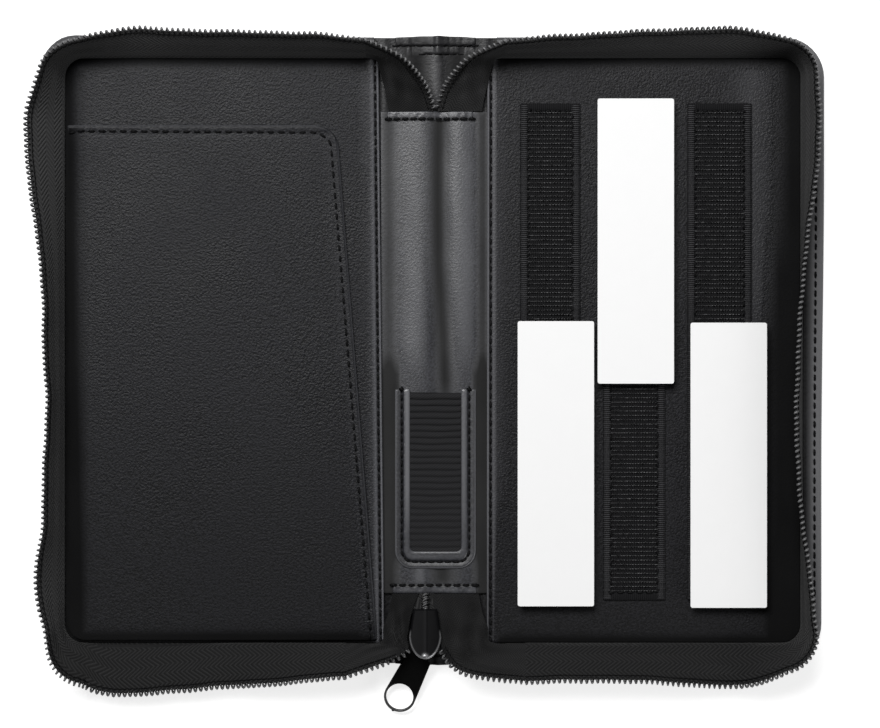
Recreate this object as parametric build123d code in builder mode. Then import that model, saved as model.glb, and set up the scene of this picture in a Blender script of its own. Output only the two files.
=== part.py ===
from build123d import *
import os
from math import asin, cos, radians, sin, tan

# Zip-round calculator case, lying open and flat like a book. Millimetres, +Z up.
# X runs across the open case, Y along its spine, and the floor is z = 0.
# The origin is the centre of the spine's outer face.

# Covers and spine
spine_width = 34.0
cover_width = 112.0
case_height = 209.4
corner_radius = 13.5
leather_thick = 1.0
edge_bevel = 1.1
border_width = 6.2
board_thick = 1.6
board_clearance = 0.1
foam_thick = 0.6
lining_thick = 0.8
fold_clearance = 0.3

# Inner spine
padding_thick = 0.7
padding_margin = 2.0
strip_thick = 0.8
strip_short_of_top = 24.8
strip_short_of_bottom = 23.5
hem_thick = 0.4
hem_width = 3.2
hem_margin = 3.2
flap_hem_width = 9.0
flap_hem_thick = 0.8

# Pen pocket on the spine strip
pen_frame_width = 27.0
pen_frame_length = 60.0
pen_frame_thick = 1.6
pen_frame_from_hem = 68.4
pen_frame_corner = 6.0
pen_frame_bevel = 0.5
pen_window_width = 17.0
pen_bottom_band = 5.9
pen_slot_height = 0.6
elastic_thick = 0.7
elastic_rib_height = 0.3
elastic_rib_pitch = 2.15
elastic_rib_width = 1.3
elastic_top_gap = 1.4

# Document pocket on the front lining
pocket_short_of_top = 29.7
pocket_seam = 3.0
pocket_thick = 1.0
pocket_slot = 0.4
pocket_shoulder_inset = 15.6
pocket_foot_inset = 2.6
pocket_corner = 8.0
pocket_clearance = 0.6

# Hook strips on the back lining, and the loop pads that lie on them
hook_strip_width = 20.6
hook_strip_margin = 22.5
hook_strip_y = -1.0
near_strip_from_fold = 21.2
middle_strip_from_fold = 49.1
far_strip_from_fold = 78.1
hook_base_thick = 0.6
hook_selvedge = 3.0
hook_height = 1.2
pad_width = 25.3
pad_length = 94.5
pad_thick = 2.0
near_pad_shift = 1.7
middle_pad_shift = 0.3
far_pad_shift = 2.1
near_pad_overhang = 1.6
middle_pad_overhang = 2.3
far_pad_overhang = 2.1
liner_thick = 0.25

# Zipper: tape, coil and the lean of the tape's free edge past its seam
tape_inset = 6.9
tape_thick = 0.6
tape_free = 12.4
tape_foot_play = 0.3
lean_curl = 0.4
tooth_pitch = 1.8
tooth_width = 1.0
tooth_length = 2.0
tooth_thick = 1.6
tooth_gap = 0.05
corner_steps = 4
top_end_from_fold = 6.0
bottom_end_from_fold = 13.0
coil_gap_at_hem = 1.2
hem_seam_inset = 1.6
bottom_hem_seam_inset = 2.7
front_lean = {
    "top": (3.2, 5.0, 6.6, 6.6, 4.7),
    "top_corner": 4.4,
    "side": (6.5, 12.0, 8.0, 5.0, 4.6, 6.0, 7.8, 7.5),
    "bottom_corner": 8.0,
    "bottom": (12.0, 13.6, 13.2, 11.0, 8.0),
}
back_lean = {
    "top": (3.2, 5.0, 6.5, 5.5, 1.5),
    "top_corner": 1.5,
    "side": (3.0, 3.6, 1.0, -2.6, -4.4, -3.8, -0.8, 3.3),
    "bottom_corner": 4.5,
    "bottom": (10.0, 12.0, 12.2, 10.0, 7.5),
}

# Free tape ends, by hand: where the seam side lies (past the fold line, in from the seam line
# and above the lining), then where the coil side lies
top_end_seam = ((2.5, 1.3, 0.6), (0.6, 7.8, 0.6), (-0.8, 13.7, -0.5))
top_end_coil = ((-5.0, 2.0, 10.6), (-9.8, 7.0, 6.6), (-13.0, 12.4, 1.1))
# On the bottom ends the coil side is placed along the slider from its tail, and beside it
bottom_end_seam = ((1.5, 0.5, 0.6), (0.2, 5.8, 0.6), (-1.5, 10.8, -0.5))
bottom_end_along_slider = (13.6, 8.0, 1.0)
bottom_end_beside_slider = (2.3, 0.9, -0.5)

# Zipper slider and pull
slider_x = -3.4
slider_from_hem = 5.3
slider_tail_z = 5.6
slider_pitch = 20.5
slider_length = 16.6
slider_width = 10.4
slider_tail_width = 7.7
slider_wide_at = 9.4
slider_plate = 1.0
slider_channel = 2.6
slider_flange_width = 0.9
slider_slot = 1.0
slider_bevel = 0.35
slider_bulge_out = 0.66
slider_bulge_on = 0.62
diamond_length = 5.2
diamond_width = 3.0
diamond_from_nose = 1.6
bail_thick = 1.3
bail_wire = 1.0
bail_height = 2.3
bail_start = 6.2
bail_end = 12.8
pull_yaw = 24.0
pull_length = 25.3
pull_width = 10.4
pull_thick = 1.2
pull_bar_radius = 0.55
pull_bar_to_leg = 0.25
pull_eye_width = 3.4
pull_eye_arm = 1.2
pull_eye_length = 3.2
pull_neck_length = 7.0
pull_hole_radius = 4.6
pull_tip_height = 1.7
chain_width = 3.4
chain_thick = 1.8
chain_into_slider = 3.0
chain_past_tail = 5.4

# Levels that follow from the layers
hinge_x = spine_width / 2
board_top = leather_thick + board_thick
border_top = board_top + leather_thick
foam_top = board_top + foam_thick
lining_top = foam_top + lining_thick
lining_inset = tape_inset + tape_thick / 2 + tape_foot_play
fold_z = board_top
fold_radius = fold_z
fold_cut_radius = fold_radius + fold_clearance
padding_top = leather_thick + padding_thick
strip_top = padding_top + strip_thick
cover_end_x = hinge_x + cover_width
case_half = case_height / 2
seam_y = case_half - tape_inset
strip_top_end = case_half - strip_short_of_top
strip_bottom_end = strip_short_of_bottom - case_half
slider_tail_y = strip_bottom_end - slider_from_hem

os.makedirs("parts", exist_ok=True)


def cover_outline(side, z, inset, fold_gap):
    """A cover's outline at height z: square at the fold, rounded at its outer corners."""
    width = cover_width - inset - fold_gap
    with BuildSketch(Plane.XY.offset(z)) as outline:
        with Locations((side * (hinge_x + fold_gap + width / 2), 0)):
            Rectangle(width, case_height - 2 * inset)
        corners = outline.vertices().sort_by(Axis.X)
        fillet(corners[-2:] if side > 0 else corners[:2], corner_radius - inset)
    return outline.sketch


def fold_cylinder(side, radius):
    """A round bar on a cover's fold line, used to cut its neighbours concentric."""
    with BuildPart() as bar:
        with BuildSketch(Plane.XZ.offset(-case_height)):
            with Locations((side * hinge_x, fold_z)):
                Circle(radius)
        extrude(amount=2 * case_height)
    return bar.part


# Zipper tape stations: each holds a point on the seam line, the way outwards from
# the cover, and how far the coil's edge leans past the seam there.
def tape_stations(side, lean):
    seam_x = cover_end_x - tape_inset
    radius = corner_radius - tape_inset
    corner_x = seam_x - radius
    corner_y = seam_y - radius
    stations = []

    def straight(leans, start, end, outward):
        for index, value in enumerate(leans):
            share = index / (len(leans) - 1)
            x = start[0] + share * (end[0] - start[0])
            y = start[1] + share * (end[1] - start[1])
            stations.append((Vector(side * x, y), Vector(side * outward[0], outward[1]), value))

    def corner(y_sign, before, middle, after):
        for index in range(1, corner_steps):
            share = index / corner_steps
            angle = radians(90 * share)
            if y_sign > 0:
                outward = (sin(angle), cos(angle))
            else:
                outward = (cos(angle), -sin(angle))
            ends = before if share < 0.5 else after
            value = middle + (ends - middle) * abs(2 * share - 1)
            x = corner_x + radius * outward[0]
            y = y_sign * corner_y + radius * outward[1]
            stations.append((Vector(side * x, y), Vector(side * outward[0], outward[1]), value))

    straight(lean["top"], (hinge_x + top_end_from_fold, seam_y), (corner_x, seam_y), (0, 1))
    corner(1, lean["top"][-1], lean["top_corner"], lean["side"][0])
    straight(lean["side"], (seam_x, corner_y), (seam_x, -corner_y), (1, 0))
    corner(-1, lean["side"][-1], lean["bottom_corner"], lean["bottom"][0])
    bottom_end = (hinge_x + bottom_end_from_fold, -seam_y)
    straight(lean["bottom"], (corner_x, -seam_y), bottom_end, (0, -1))
    return stations


def tape_curve(lean):
    """The tape's free edge in its own section: tip, way on, middle point and start angle."""
    lean_angle = asin(lean / (tape_free + tooth_length))
    curl = lean_curl * lean_angle
    chord = tape_free if curl == 0 else tape_free * sin(curl / 2) / (curl / 2)
    sag = 0 if curl == 0 else tape_free / curl * (1 - cos(curl / 2))
    tip = Vector(chord * sin(lean_angle), lining_top + chord * cos(lean_angle))
    middle_x = chord / 2 * sin(lean_angle) - sag * cos(lean_angle)
    middle_y = lining_top + chord / 2 * cos(lean_angle) + sag * sin(lean_angle)
    start_angle = lean_angle - curl / 2
    end_angle = lean_angle + curl / 2
    return tip, end_angle, Vector(middle_x, middle_y), lean_angle, start_angle


def tape_section(root, outward, lean):
    """The tape's cross-section at one station: a foot in the seam and a curved free part."""
    tip, end_angle, middle, middle_angle, start_angle = tape_curve(lean)
    half = tape_thick / 2
    mitre = half * tan(start_angle / 2)
    end_side = Vector(half * cos(end_angle), -half * sin(end_angle))
    middle_side = Vector(half * cos(middle_angle), -half * sin(middle_angle))
    foot_out = (half, board_top)
    foot_in = (-half, board_top)
    knee_out = (half, lining_top - mitre)
    knee_in = (-half, lining_top + mitre)
    across = Plane(origin=root, x_dir=outward, z_dir=outward.cross(Vector(0, 0, 1)))
    with BuildSketch(across) as section:
        with BuildLine():
            Line(foot_in, foot_out)
            Line(foot_out, knee_out)
            ThreePointArc(knee_out, middle + middle_side, tip + end_side)
            Line(tip + end_side, tip - end_side)
            ThreePointArc(tip - end_side, middle - middle_side, knee_in)
            Line(knee_in, foot_in)
        make_face()
    return section.sketch


def tape_tip(root, outward, lean):
    """Where the tape ends at a station, and the way that its teeth point."""
    tip, end_angle = tape_curve(lean)[:2]
    up = Vector(0, 0, 1)
    place = root + outward * tip.X + up * tip.Y
    way = outward * sin(end_angle) + up * cos(end_angle)
    return place, way


def tooth_planes(tips):
    """Planes for the teeth, at even steps along the line through the tape's tips."""
    planes = []
    travelled = 0.0
    next_tooth = tooth_pitch / 2
    for (start, start_way), (end, end_way) in zip(tips, tips[1:]):
        step = end - start
        while next_tooth <= travelled + step.length:
            share = (next_tooth - travelled) / step.length
            along = step.normalized()
            way = start_way * (1 - share) + end_way * share
            way = (way - along * way.dot(along)).normalized()
            foot = start + step * share + way * tooth_gap
            planes.append(Plane(origin=foot, x_dir=way, z_dir=along))
            next_tooth += tooth_pitch
        travelled += step.length
    return planes


def coil(*runs):
    """Coil teeth standing on a tape's edge, one block for each turn that shows."""
    planes = [plane for tips in runs for plane in tooth_planes(tips)]
    with BuildPart() as teeth:
        with Locations(*planes):
            Box(tooth_length, tooth_thick, tooth_width, align=(Align.MIN, Align.CENTER, Align.CENTER))
    return teeth.part


def free_end_sections(ends):
    """Flat cross-sections of a free tape end, from its seam side to its coil side."""
    sections = []
    for index, (seam, tip) in enumerate(ends):
        before = ends[max(index - 1, 0)]
        after = ends[min(index + 1, len(ends) - 1)]
        across = (tip - seam).normalized()
        forward = (after[0] + after[1]) - (before[0] + before[1])
        forward = (forward - across * forward.dot(across)).normalized()
        with BuildSketch(Plane(origin=seam, x_dir=across, z_dir=forward)) as section:
            Rectangle((tip - seam).length, tape_thick, align=(Align.MIN, Align.CENTER))
        sections.append(section.sketch)
    return sections


def free_end_place(side, past_fold, in_from_seam, above_lining, end):
    """A hand-picked place on a free tape end, mirrored to its side and its end of the spine."""
    x = side * (hinge_x + past_fold)
    return Vector(x, end * (seam_y - in_from_seam), lining_top + above_lining)


def top_free_end(side, station):
    """Pairs of seam and coil places from the cover's tape to the top hem."""
    tip = tape_tip(*station)[0]
    start_x = side * (hinge_x + top_end_from_fold - fold_clearance)
    hem_y = strip_top_end + fold_clearance
    pairs = [(Vector(start_x, seam_y, lining_top), Vector(start_x, tip.Y, tip.Z))]
    for seam, coil_side in zip(top_end_seam, top_end_coil):
        pairs.append((free_end_place(side, *seam, 1), free_end_place(side, *coil_side, 1)))
    coil_x = side * (tooth_length + coil_gap_at_hem / 2)
    pairs.append((Vector(side * (hinge_x - hem_seam_inset), hem_y, strip_top - fold_clearance),
                  Vector(coil_x, hem_y, strip_top)))
    return pairs


def bottom_free_end(side, station):
    """Pairs of seam and coil places from the cover's tape, past the slider, to the bottom hem."""
    tip = tape_tip(*station)[0]
    start_x = side * (hinge_x + bottom_end_from_fold - fold_clearance)
    hem_y = strip_bottom_end - fold_clearance
    rise = tan(radians(slider_pitch))
    pairs = [(Vector(start_x, -seam_y, lining_top), Vector(start_x, tip.Y, tip.Z))]
    for seam, along, beside in zip(bottom_end_seam, bottom_end_along_slider,
                                   bottom_end_beside_slider):
        coil_x = slider_x + side * (slider_width / 2 + beside)
        coil_side = Vector(coil_x, slider_tail_y - along, slider_tail_z + along * rise)
        pairs.append((free_end_place(side, *seam, -1), coil_side))
    coil_x = slider_x + side * (chain_width + coil_gap_at_hem) / 2
    pairs.append((Vector(side * (hinge_x - bottom_hem_seam_inset), hem_y, strip_top - fold_clearance),
                  Vector(coil_x, hem_y, strip_top + fold_clearance)))
    return pairs


def coil_side(pairs):
    """The coil side of a free end: where it runs, and the way that its teeth point."""
    return [(tip, (tip - seam).normalized()) for seam, tip in pairs]


# Spine: outer skin with a fold roll along each side and a turned hem at each end
with BuildPart() as spine_skin:
    with BuildSketch(Plane.XZ.offset(-case_half)) as spine_profile:
        with Locations((0, leather_thick / 2)):
            Rectangle(spine_width, leather_thick)
        for side in (-1, 1):
            with Locations((side * hinge_x, fold_z)):
                Circle(fold_radius)
        with Locations((0, fold_z + fold_radius / 2)):
            Rectangle(3 * spine_width, fold_radius, mode=Mode.SUBTRACT)
        with Locations((0, (leather_thick + fold_z) / 2)):
            Rectangle(spine_width, fold_z - leather_thick, mode=Mode.SUBTRACT)
    extrude(amount=case_height)
    with BuildSketch(Plane.XY.offset(leather_thick)):
        for end in (-1, 1):
            with Locations((0, end * (case_half - flap_hem_width / 2))):
                Rectangle(spine_width - 2 * padding_margin, flap_hem_width)
    extrude(amount=flap_hem_thick)
spine_skin.part.label = "spine_skin"
export_step(spine_skin.part, "parts/spine_skin.step")

with BuildPart() as spine_padding:
    padding_length = strip_top_end - strip_bottom_end - 2 * padding_margin
    with BuildSketch(Plane.XY.offset(leather_thick)):
        with Locations((0, (strip_top_end + strip_bottom_end) / 2)):
            Rectangle(spine_width - 2 * padding_margin, padding_length)
    extrude(amount=padding_thick)
spine_padding.part.label = "spine_padding"
export_step(spine_padding.part, "parts/spine_padding.step")

with BuildPart() as spine_strip:
    with BuildSketch(Plane.XY.offset(padding_top)):
        with Locations((0, (strip_top_end + strip_bottom_end) / 2)):
            Rectangle(spine_width, strip_top_end - strip_bottom_end)
    extrude(amount=strip_thick)
    with BuildSketch(Plane.XY.offset(strip_top)):
        for hem_y in (strip_top_end - hem_width / 2, strip_bottom_end + hem_width / 2):
            with Locations((0, hem_y)):
                Rectangle(spine_width - 2 * hem_margin, hem_width)
    extrude(amount=hem_thick)
spine_strip.part.label = "spine_strip"
export_step(spine_strip.part, "parts/spine_strip.step")

# Pen pocket: a leather U round a window of ribbed elastic, sewn flat on the strip
pen_frame_top = strip_bottom_end + pen_frame_from_hem
pen_frame_y = pen_frame_top - pen_frame_length / 2
pen_window_length = pen_frame_length - pen_bottom_band
with BuildPart() as pen_frame:
    with BuildSketch(Plane.XY.offset(strip_top)) as pen_outline:
        with Locations((0, pen_frame_y)):
            Rectangle(pen_frame_width, pen_frame_length)
        fillet(pen_outline.vertices().sort_by(Axis.Y)[:2], pen_frame_corner)
        with Locations((0, pen_frame_top - pen_window_length / 2)):
            Rectangle(pen_window_width, pen_window_length, mode=Mode.SUBTRACT)
    extrude(amount=pen_frame_thick)
    chamfer(pen_frame.faces().sort_by(Axis.Z)[-1].edges(), pen_frame_bevel)
pen_frame.part.label = "pen_pocket_frame"
export_step(pen_frame.part, "parts/pen_pocket_frame.step")

elastic_length = pen_window_length - elastic_top_gap
elastic_y = pen_frame_top - elastic_top_gap - elastic_length / 2
elastic_z = strip_top + pen_slot_height
rib_count = int(elastic_length / elastic_rib_pitch)
with BuildPart() as elastic:
    with BuildSketch(Plane.YZ.offset(-pen_window_width / 2)):
        with Locations((elastic_y, elastic_z + elastic_thick / 2)):
            Rectangle(elastic_length, elastic_thick)
        with Locations((elastic_y, elastic_z + elastic_thick + elastic_rib_height / 2)):
            with GridLocations(elastic_rib_pitch, 0, rib_count, 1):
                Rectangle(elastic_rib_width, elastic_rib_height)
    extrude(amount=pen_window_width)
elastic.part.label = "pen_pocket_elastic"
export_step(elastic.part, "parts/pen_pocket_elastic.step")

# Covers: the same sandwich on both sides of the spine
covers = {"front_cover": (-1, front_lean), "back_cover": (1, back_lean)}
for cover, (side, lean) in covers.items():
    fold_space = fold_cylinder(side, fold_cut_radius)

    with BuildPart() as skin:
        extrude(cover_outline(side, 0, 0, 0), amount=border_top)
        fold_edge_x = side * hinge_x
        bottom_and_top = skin.faces().filter_by(Axis.Z).edges()
        turned = [edge for edge in bottom_and_top if abs(edge.center().X - fold_edge_x) > edge_bevel]
        chamfer(turned, edge_bevel)
        board_room = cover_outline(side, leather_thick, leather_thick, 0)
        extrude(board_room, amount=board_thick, mode=Mode.SUBTRACT)
        extrude(cover_outline(side, board_top, border_width, 0), amount=leather_thick,
                mode=Mode.SUBTRACT)
        add(fold_space, mode=Mode.SUBTRACT)
    skin.part.label = f"{cover}_skin"
    export_step(skin.part, f"parts/{cover}_skin.step")

    with BuildPart() as board:
        board_edge = leather_thick + board_clearance
        extrude(cover_outline(side, leather_thick, board_edge, 0), amount=board_thick)
        add(fold_space, mode=Mode.SUBTRACT)
    board.part.label = f"{cover}_board"
    export_step(board.part, f"parts/{cover}_board.step")

    with BuildPart() as foam:
        extrude(cover_outline(side, board_top, lining_inset, fold_cut_radius), amount=foam_thick)
    foam.part.label = f"{cover}_foam"
    export_step(foam.part, f"parts/{cover}_foam.step")

    with BuildPart() as lining:
        extrude(cover_outline(side, foam_top, lining_inset, fold_clearance), amount=lining_thick)
    lining.part.label = f"{cover}_lining"
    export_step(lining.part, f"parts/{cover}_lining.step")

    stations = tape_stations(side, lean)
    with BuildPart() as tape:
        loft(sections=[tape_section(*station) for station in stations], ruled=True)
    tape.part.label = f"{cover}_zip_tape"
    export_step(tape.part, f"parts/{cover}_zip_tape.step")

    zip_coil = coil([tape_tip(*station) for station in stations])
    zip_coil.label = f"{cover}_zip_coil"
    export_step(zip_coil, f"parts/{cover}_zip_coil.step")
    print(cover, "coil turns:", len(zip_coil.solids()))

    # The tape's two free ends run from the cover to the hems at both ends of the spine strip
    top_pairs = top_free_end(side, stations[0])
    bottom_pairs = bottom_free_end(side, stations[-1])
    with BuildPart() as tape_ends:
        loft(sections=free_end_sections(top_pairs), ruled=True)
        loft(sections=free_end_sections(bottom_pairs), ruled=True)
    tape_ends.part.label = f"{cover}_tape_ends"
    export_step(tape_ends.part, f"parts/{cover}_tape_ends.step")

    # Past the slider's mouth the bottom coil is inside the slider, so it stops there
    coil_ends = coil(coil_side(top_pairs), coil_side(bottom_pairs[:2]))
    coil_ends.label = f"{cover}_coil_ends"
    export_step(coil_ends, f"parts/{cover}_coil_ends.step")

# Document pocket: a leather panel sewn to the front lining along its outer side and foot,
# with a free top edge and a free slanted edge
with BuildPart() as pocket:
    pocket_edge = lining_inset + pocket_clearance
    outer_x = -(cover_end_x - pocket_edge)
    foot_y = -(case_half - pocket_edge)
    shoulder_x = -(hinge_x + pocket_shoulder_inset)
    foot_x = -(hinge_x + pocket_foot_inset)
    pocket_top = case_half - pocket_short_of_top
    with BuildSketch(Plane.XY.offset(lining_top)) as pocket_outline:
        with BuildLine():
            Polyline((outer_x, pocket_top), (shoulder_x, pocket_top), (foot_x, foot_y),
                     (outer_x, foot_y), close=True)
        make_face()
        fillet(pocket_outline.vertices().group_by(Axis.Y)[-1].sort_by(Axis.X)[-1], pocket_corner)
        outer_foot = pocket_outline.vertices().group_by(Axis.Y)[0].sort_by(Axis.X)[0]
        fillet(outer_foot, corner_radius - pocket_edge)
    extrude(amount=pocket_slot + pocket_thick)
    with BuildSketch(Plane.XY.offset(lining_top)):
        with Locations((outer_x + pocket_seam, foot_y + pocket_seam)):
            Rectangle(cover_width, case_height, align=(Align.MIN, Align.MIN))
    extrude(amount=pocket_slot, mode=Mode.SUBTRACT)
pocket.part.label = "document_pocket"
export_step(pocket.part, "parts/document_pocket.step")

# Hook strips sewn on the back lining, and the adhesive loop pads laid on them
hook_base_top = lining_top + hook_base_thick
hook_top = hook_base_top + hook_height
pad_top = hook_top + pad_thick
hook_strip_length = case_height - 2 * hook_strip_margin
# From the fold outwards: strip place, pad shift, and the end of the strip that the pad hangs over
strips = [
    (near_strip_from_fold, near_pad_shift, -near_pad_overhang),
    (middle_strip_from_fold, middle_pad_shift, middle_pad_overhang),
    (far_strip_from_fold, far_pad_shift, -far_pad_overhang),
]
for index, (from_fold, pad_shift, overhang) in enumerate(strips, start=1):
    strip_x = hinge_x + from_fold
    with BuildPart() as hook_strip:
        with BuildSketch(Plane.XY.offset(lining_top)):
            with Locations((strip_x, hook_strip_y)):
                Rectangle(hook_strip_width, hook_strip_length)
        extrude(amount=hook_base_thick)
        with BuildSketch(Plane.XY.offset(hook_base_top)):
            with Locations((strip_x, hook_strip_y)):
                Rectangle(hook_strip_width - 2 * hook_selvedge, hook_strip_length - hook_selvedge)
        extrude(amount=hook_height)
    hook_strip.part.label = f"hook_strip_{index}"
    export_step(hook_strip.part, f"parts/hook_strip_{index}.step")

    end = 1 if overhang > 0 else -1
    pad_place = (strip_x + pad_shift,
                 hook_strip_y + overhang + end * (hook_strip_length - pad_length) / 2)
    with BuildPart() as loop_pad:
        with BuildSketch(Plane.XY.offset(hook_top)):
            with Locations(pad_place):
                Rectangle(pad_width, pad_length)
        extrude(amount=pad_thick)
    loop_pad.part.label = f"loop_pad_{index}"
    export_step(loop_pad.part, f"parts/loop_pad_{index}.step")

    with BuildPart() as liner:
        with BuildSketch(Plane.XY.offset(pad_top)):
            with Locations(pad_place):
                Rectangle(pad_width, pad_length)
        extrude(amount=liner_thick)
    liner.part.label = f"release_liner_{index}"
    export_step(liner.part, f"parts/release_liner_{index}.step")

# Slider: on its own plane, y from tail to nose, z out of the plate that faces up
pitch = radians(slider_pitch)
slider_plane = Plane(origin=(slider_x, slider_tail_y, slider_tail_z), x_dir=(-1, 0, 0),
                     z_dir=(0, sin(pitch), cos(pitch)))
half_channel = slider_channel / 2
half_slot = slider_slot / 2
half_slider = half_channel + slider_plate


def shield(plane, inset):
    """The slider plate's outline: a flat tail, full sides and a pointed nose."""
    half_tail = slider_tail_width / 2 - inset
    half_wide = slider_width / 2 - inset
    nose = slider_length - inset
    bulge_y = slider_wide_at + (nose - slider_wide_at) * slider_bulge_on
    bulge = (half_wide * slider_bulge_out, bulge_y)
    with BuildSketch(plane) as outline:
        with BuildLine():
            Line((-half_tail, 0), (half_tail, 0))
            Line((half_tail, 0), (half_wide, slider_wide_at))
            ThreePointArc((half_wide, slider_wide_at), bulge, (0, nose))
            ThreePointArc((0, nose), (-bulge[0], bulge[1]), (-half_wide, slider_wide_at))
            Line((-half_wide, slider_wide_at), (-half_tail, 0))
        make_face()
    return outline.sketch


with BuildPart() as slider_body:
    straight_half = half_slider - slider_bevel
    extrude(shield(slider_plane.offset(-straight_half), 0), amount=2 * straight_half)
    for face_side in (-1, 1):
        full = shield(slider_plane.offset(face_side * straight_half), 0)
        narrowed = shield(slider_plane.offset(face_side * half_slider), slider_bevel)
        loft(sections=[full, narrowed], ruled=True)
    extrude(shield(slider_plane.offset(-half_channel), slider_flange_width),
            amount=slider_channel, mode=Mode.SUBTRACT)
    with BuildSketch(slider_plane.offset(-half_slot)):
        with Locations((0, slider_length / 2)):
            Rectangle(2 * slider_width, 2 * slider_length)
    extrude(amount=slider_slot, mode=Mode.SUBTRACT)
    with BuildSketch(slider_plane.offset(-half_channel)):
        with Locations((0, slider_wide_at + slider_length)):
            Rectangle(2 * slider_width, 2 * slider_length)
        with Locations((0, 0)):
            Rectangle(slider_tail_width - 2 * slider_flange_width, slider_length / 2)
    extrude(amount=slider_channel, mode=Mode.SUBTRACT)
    with BuildSketch(slider_plane.offset(-half_channel)):
        with Locations((0, slider_length - diamond_from_nose - diamond_length / 2)):
            Ellipse(diamond_width / 2, diamond_length / 2)
    extrude(amount=slider_channel)
slider_body.part.label = "slider_body"
export_step(slider_body.part, "parts/slider_body.step")

# Bail: the bridge under the slider that the pull's bar runs in
bail_plane = Plane(origin=slider_plane.origin, x_dir=slider_plane.y_dir,
                   z_dir=slider_plane.x_dir)
bail_span = bail_end - bail_start
with BuildPart() as bail:
    with BuildSketch(bail_plane.offset(-bail_thick / 2)) as bail_side:
        with Locations(((bail_start + bail_end) / 2, -half_slider - (bail_height + bail_wire) / 2)):
            Rectangle(bail_span, bail_height + bail_wire)
        fillet(bail_side.vertices().sort_by(Axis.Y)[:2], bail_wire)
        with Locations(((bail_start + bail_end) / 2, -half_slider - bail_height / 2)):
            Rectangle(bail_span - 2 * bail_wire, bail_height, mode=Mode.SUBTRACT)
    extrude(amount=bail_thick)
bail.part.label = "slider_bail"
export_step(bail.part, "parts/slider_bail.step")

# Pull: a bar in the bail, an eye that clears it, a neck and a flat ring
bar_y = bail_end - bail_wire - pull_bar_to_leg - pull_bar_radius
bar_place = slider_plane.from_local_coords(Vector(0, bar_y, -half_slider - bail_height / 2))
drop = asin((bar_place.Z - pull_tip_height) / pull_length)
yaw = radians(pull_yaw)
pull_way = Vector(-sin(yaw) * cos(drop), -cos(yaw) * cos(drop), -sin(drop))
pull_axis = Vector(-cos(yaw), sin(yaw), 0)
pull_plane = Plane(origin=bar_place, x_dir=pull_axis, z_dir=pull_axis.cross(pull_way))
ring_radius = pull_width / 2
ring_y = pull_length - ring_radius
with BuildPart() as pull:
    with BuildSketch(pull_plane) as pull_outline:
        with Locations((0, ring_y)):
            Circle(ring_radius)
        with BuildLine():
            eye_half = pull_eye_width / 2 + pull_eye_arm
            Polyline((-eye_half, 0), (eye_half, 0), (eye_half, pull_eye_length + pull_eye_arm),
                     (ring_radius, pull_neck_length), (ring_radius, ring_y),
                     (-ring_radius, ring_y), (-ring_radius, pull_neck_length),
                     (-eye_half, pull_eye_length + pull_eye_arm), close=True)
        make_face()
        with Locations((0, ring_y)):
            Circle(pull_hole_radius, mode=Mode.SUBTRACT)
        with Locations((0, 0)):
            Rectangle(pull_eye_width, 2 * pull_eye_length, mode=Mode.SUBTRACT)
    extrude(amount=pull_thick / 2, both=True)
    with BuildSketch(Plane(origin=bar_place, x_dir=pull_way, z_dir=pull_axis)):
        Circle(pull_bar_radius)
    extrude(amount=eye_half, both=True)
pull.part.label = "pull_tab"
export_step(pull.part, "parts/pull_tab.step")

# Closed chain: the short zipped stretch between the bottom hem and the slider's tail
with BuildPart() as chain:
    chain_length = chain_past_tail + chain_into_slider
    with BuildSketch(slider_plane.offset(-chain_thick / 2)):
        with Locations((0, chain_into_slider - chain_length / 2)):
            Rectangle(chain_width - 2 * tooth_gap - tooth_width, chain_length)
            turns = int(chain_length / tooth_pitch)
            with GridLocations(0, tooth_pitch, 1, turns):
                Rectangle(chain_width, tooth_width)
    extrude(amount=chain_thick)
chain.part.label = "closed_chain"
export_step(chain.part, "parts/closed_chain.step")

print("fold lines at x:", -hinge_x, hinge_x, "z:", fold_z)
print("slider way:", slider_plane.y_dir)
print("pull bar:", bar_place, "axis:", pull_axis, "ring:", pull_plane.from_local_coords(Vector(0, ring_y, 0)))
print("pull normal:", pull_plane.z_dir)
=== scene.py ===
# %% [markdown]
# A zip-round calculator case lies open and flat, like a book, and is seen from straight
# above. The rigid model from the CAD step gives the frame: its origin, its bodies and the
# two fold lines. Here every soft part gets its real form: leather, tape, thread, elastic.
# Sizes are written in millimetres, because a case maker thinks in them, and MM turns
# them into Blender's metres where a mesh is made.

import math

import bpy
import numpy as np
from mathutils import Matrix, Vector, geometry


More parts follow.
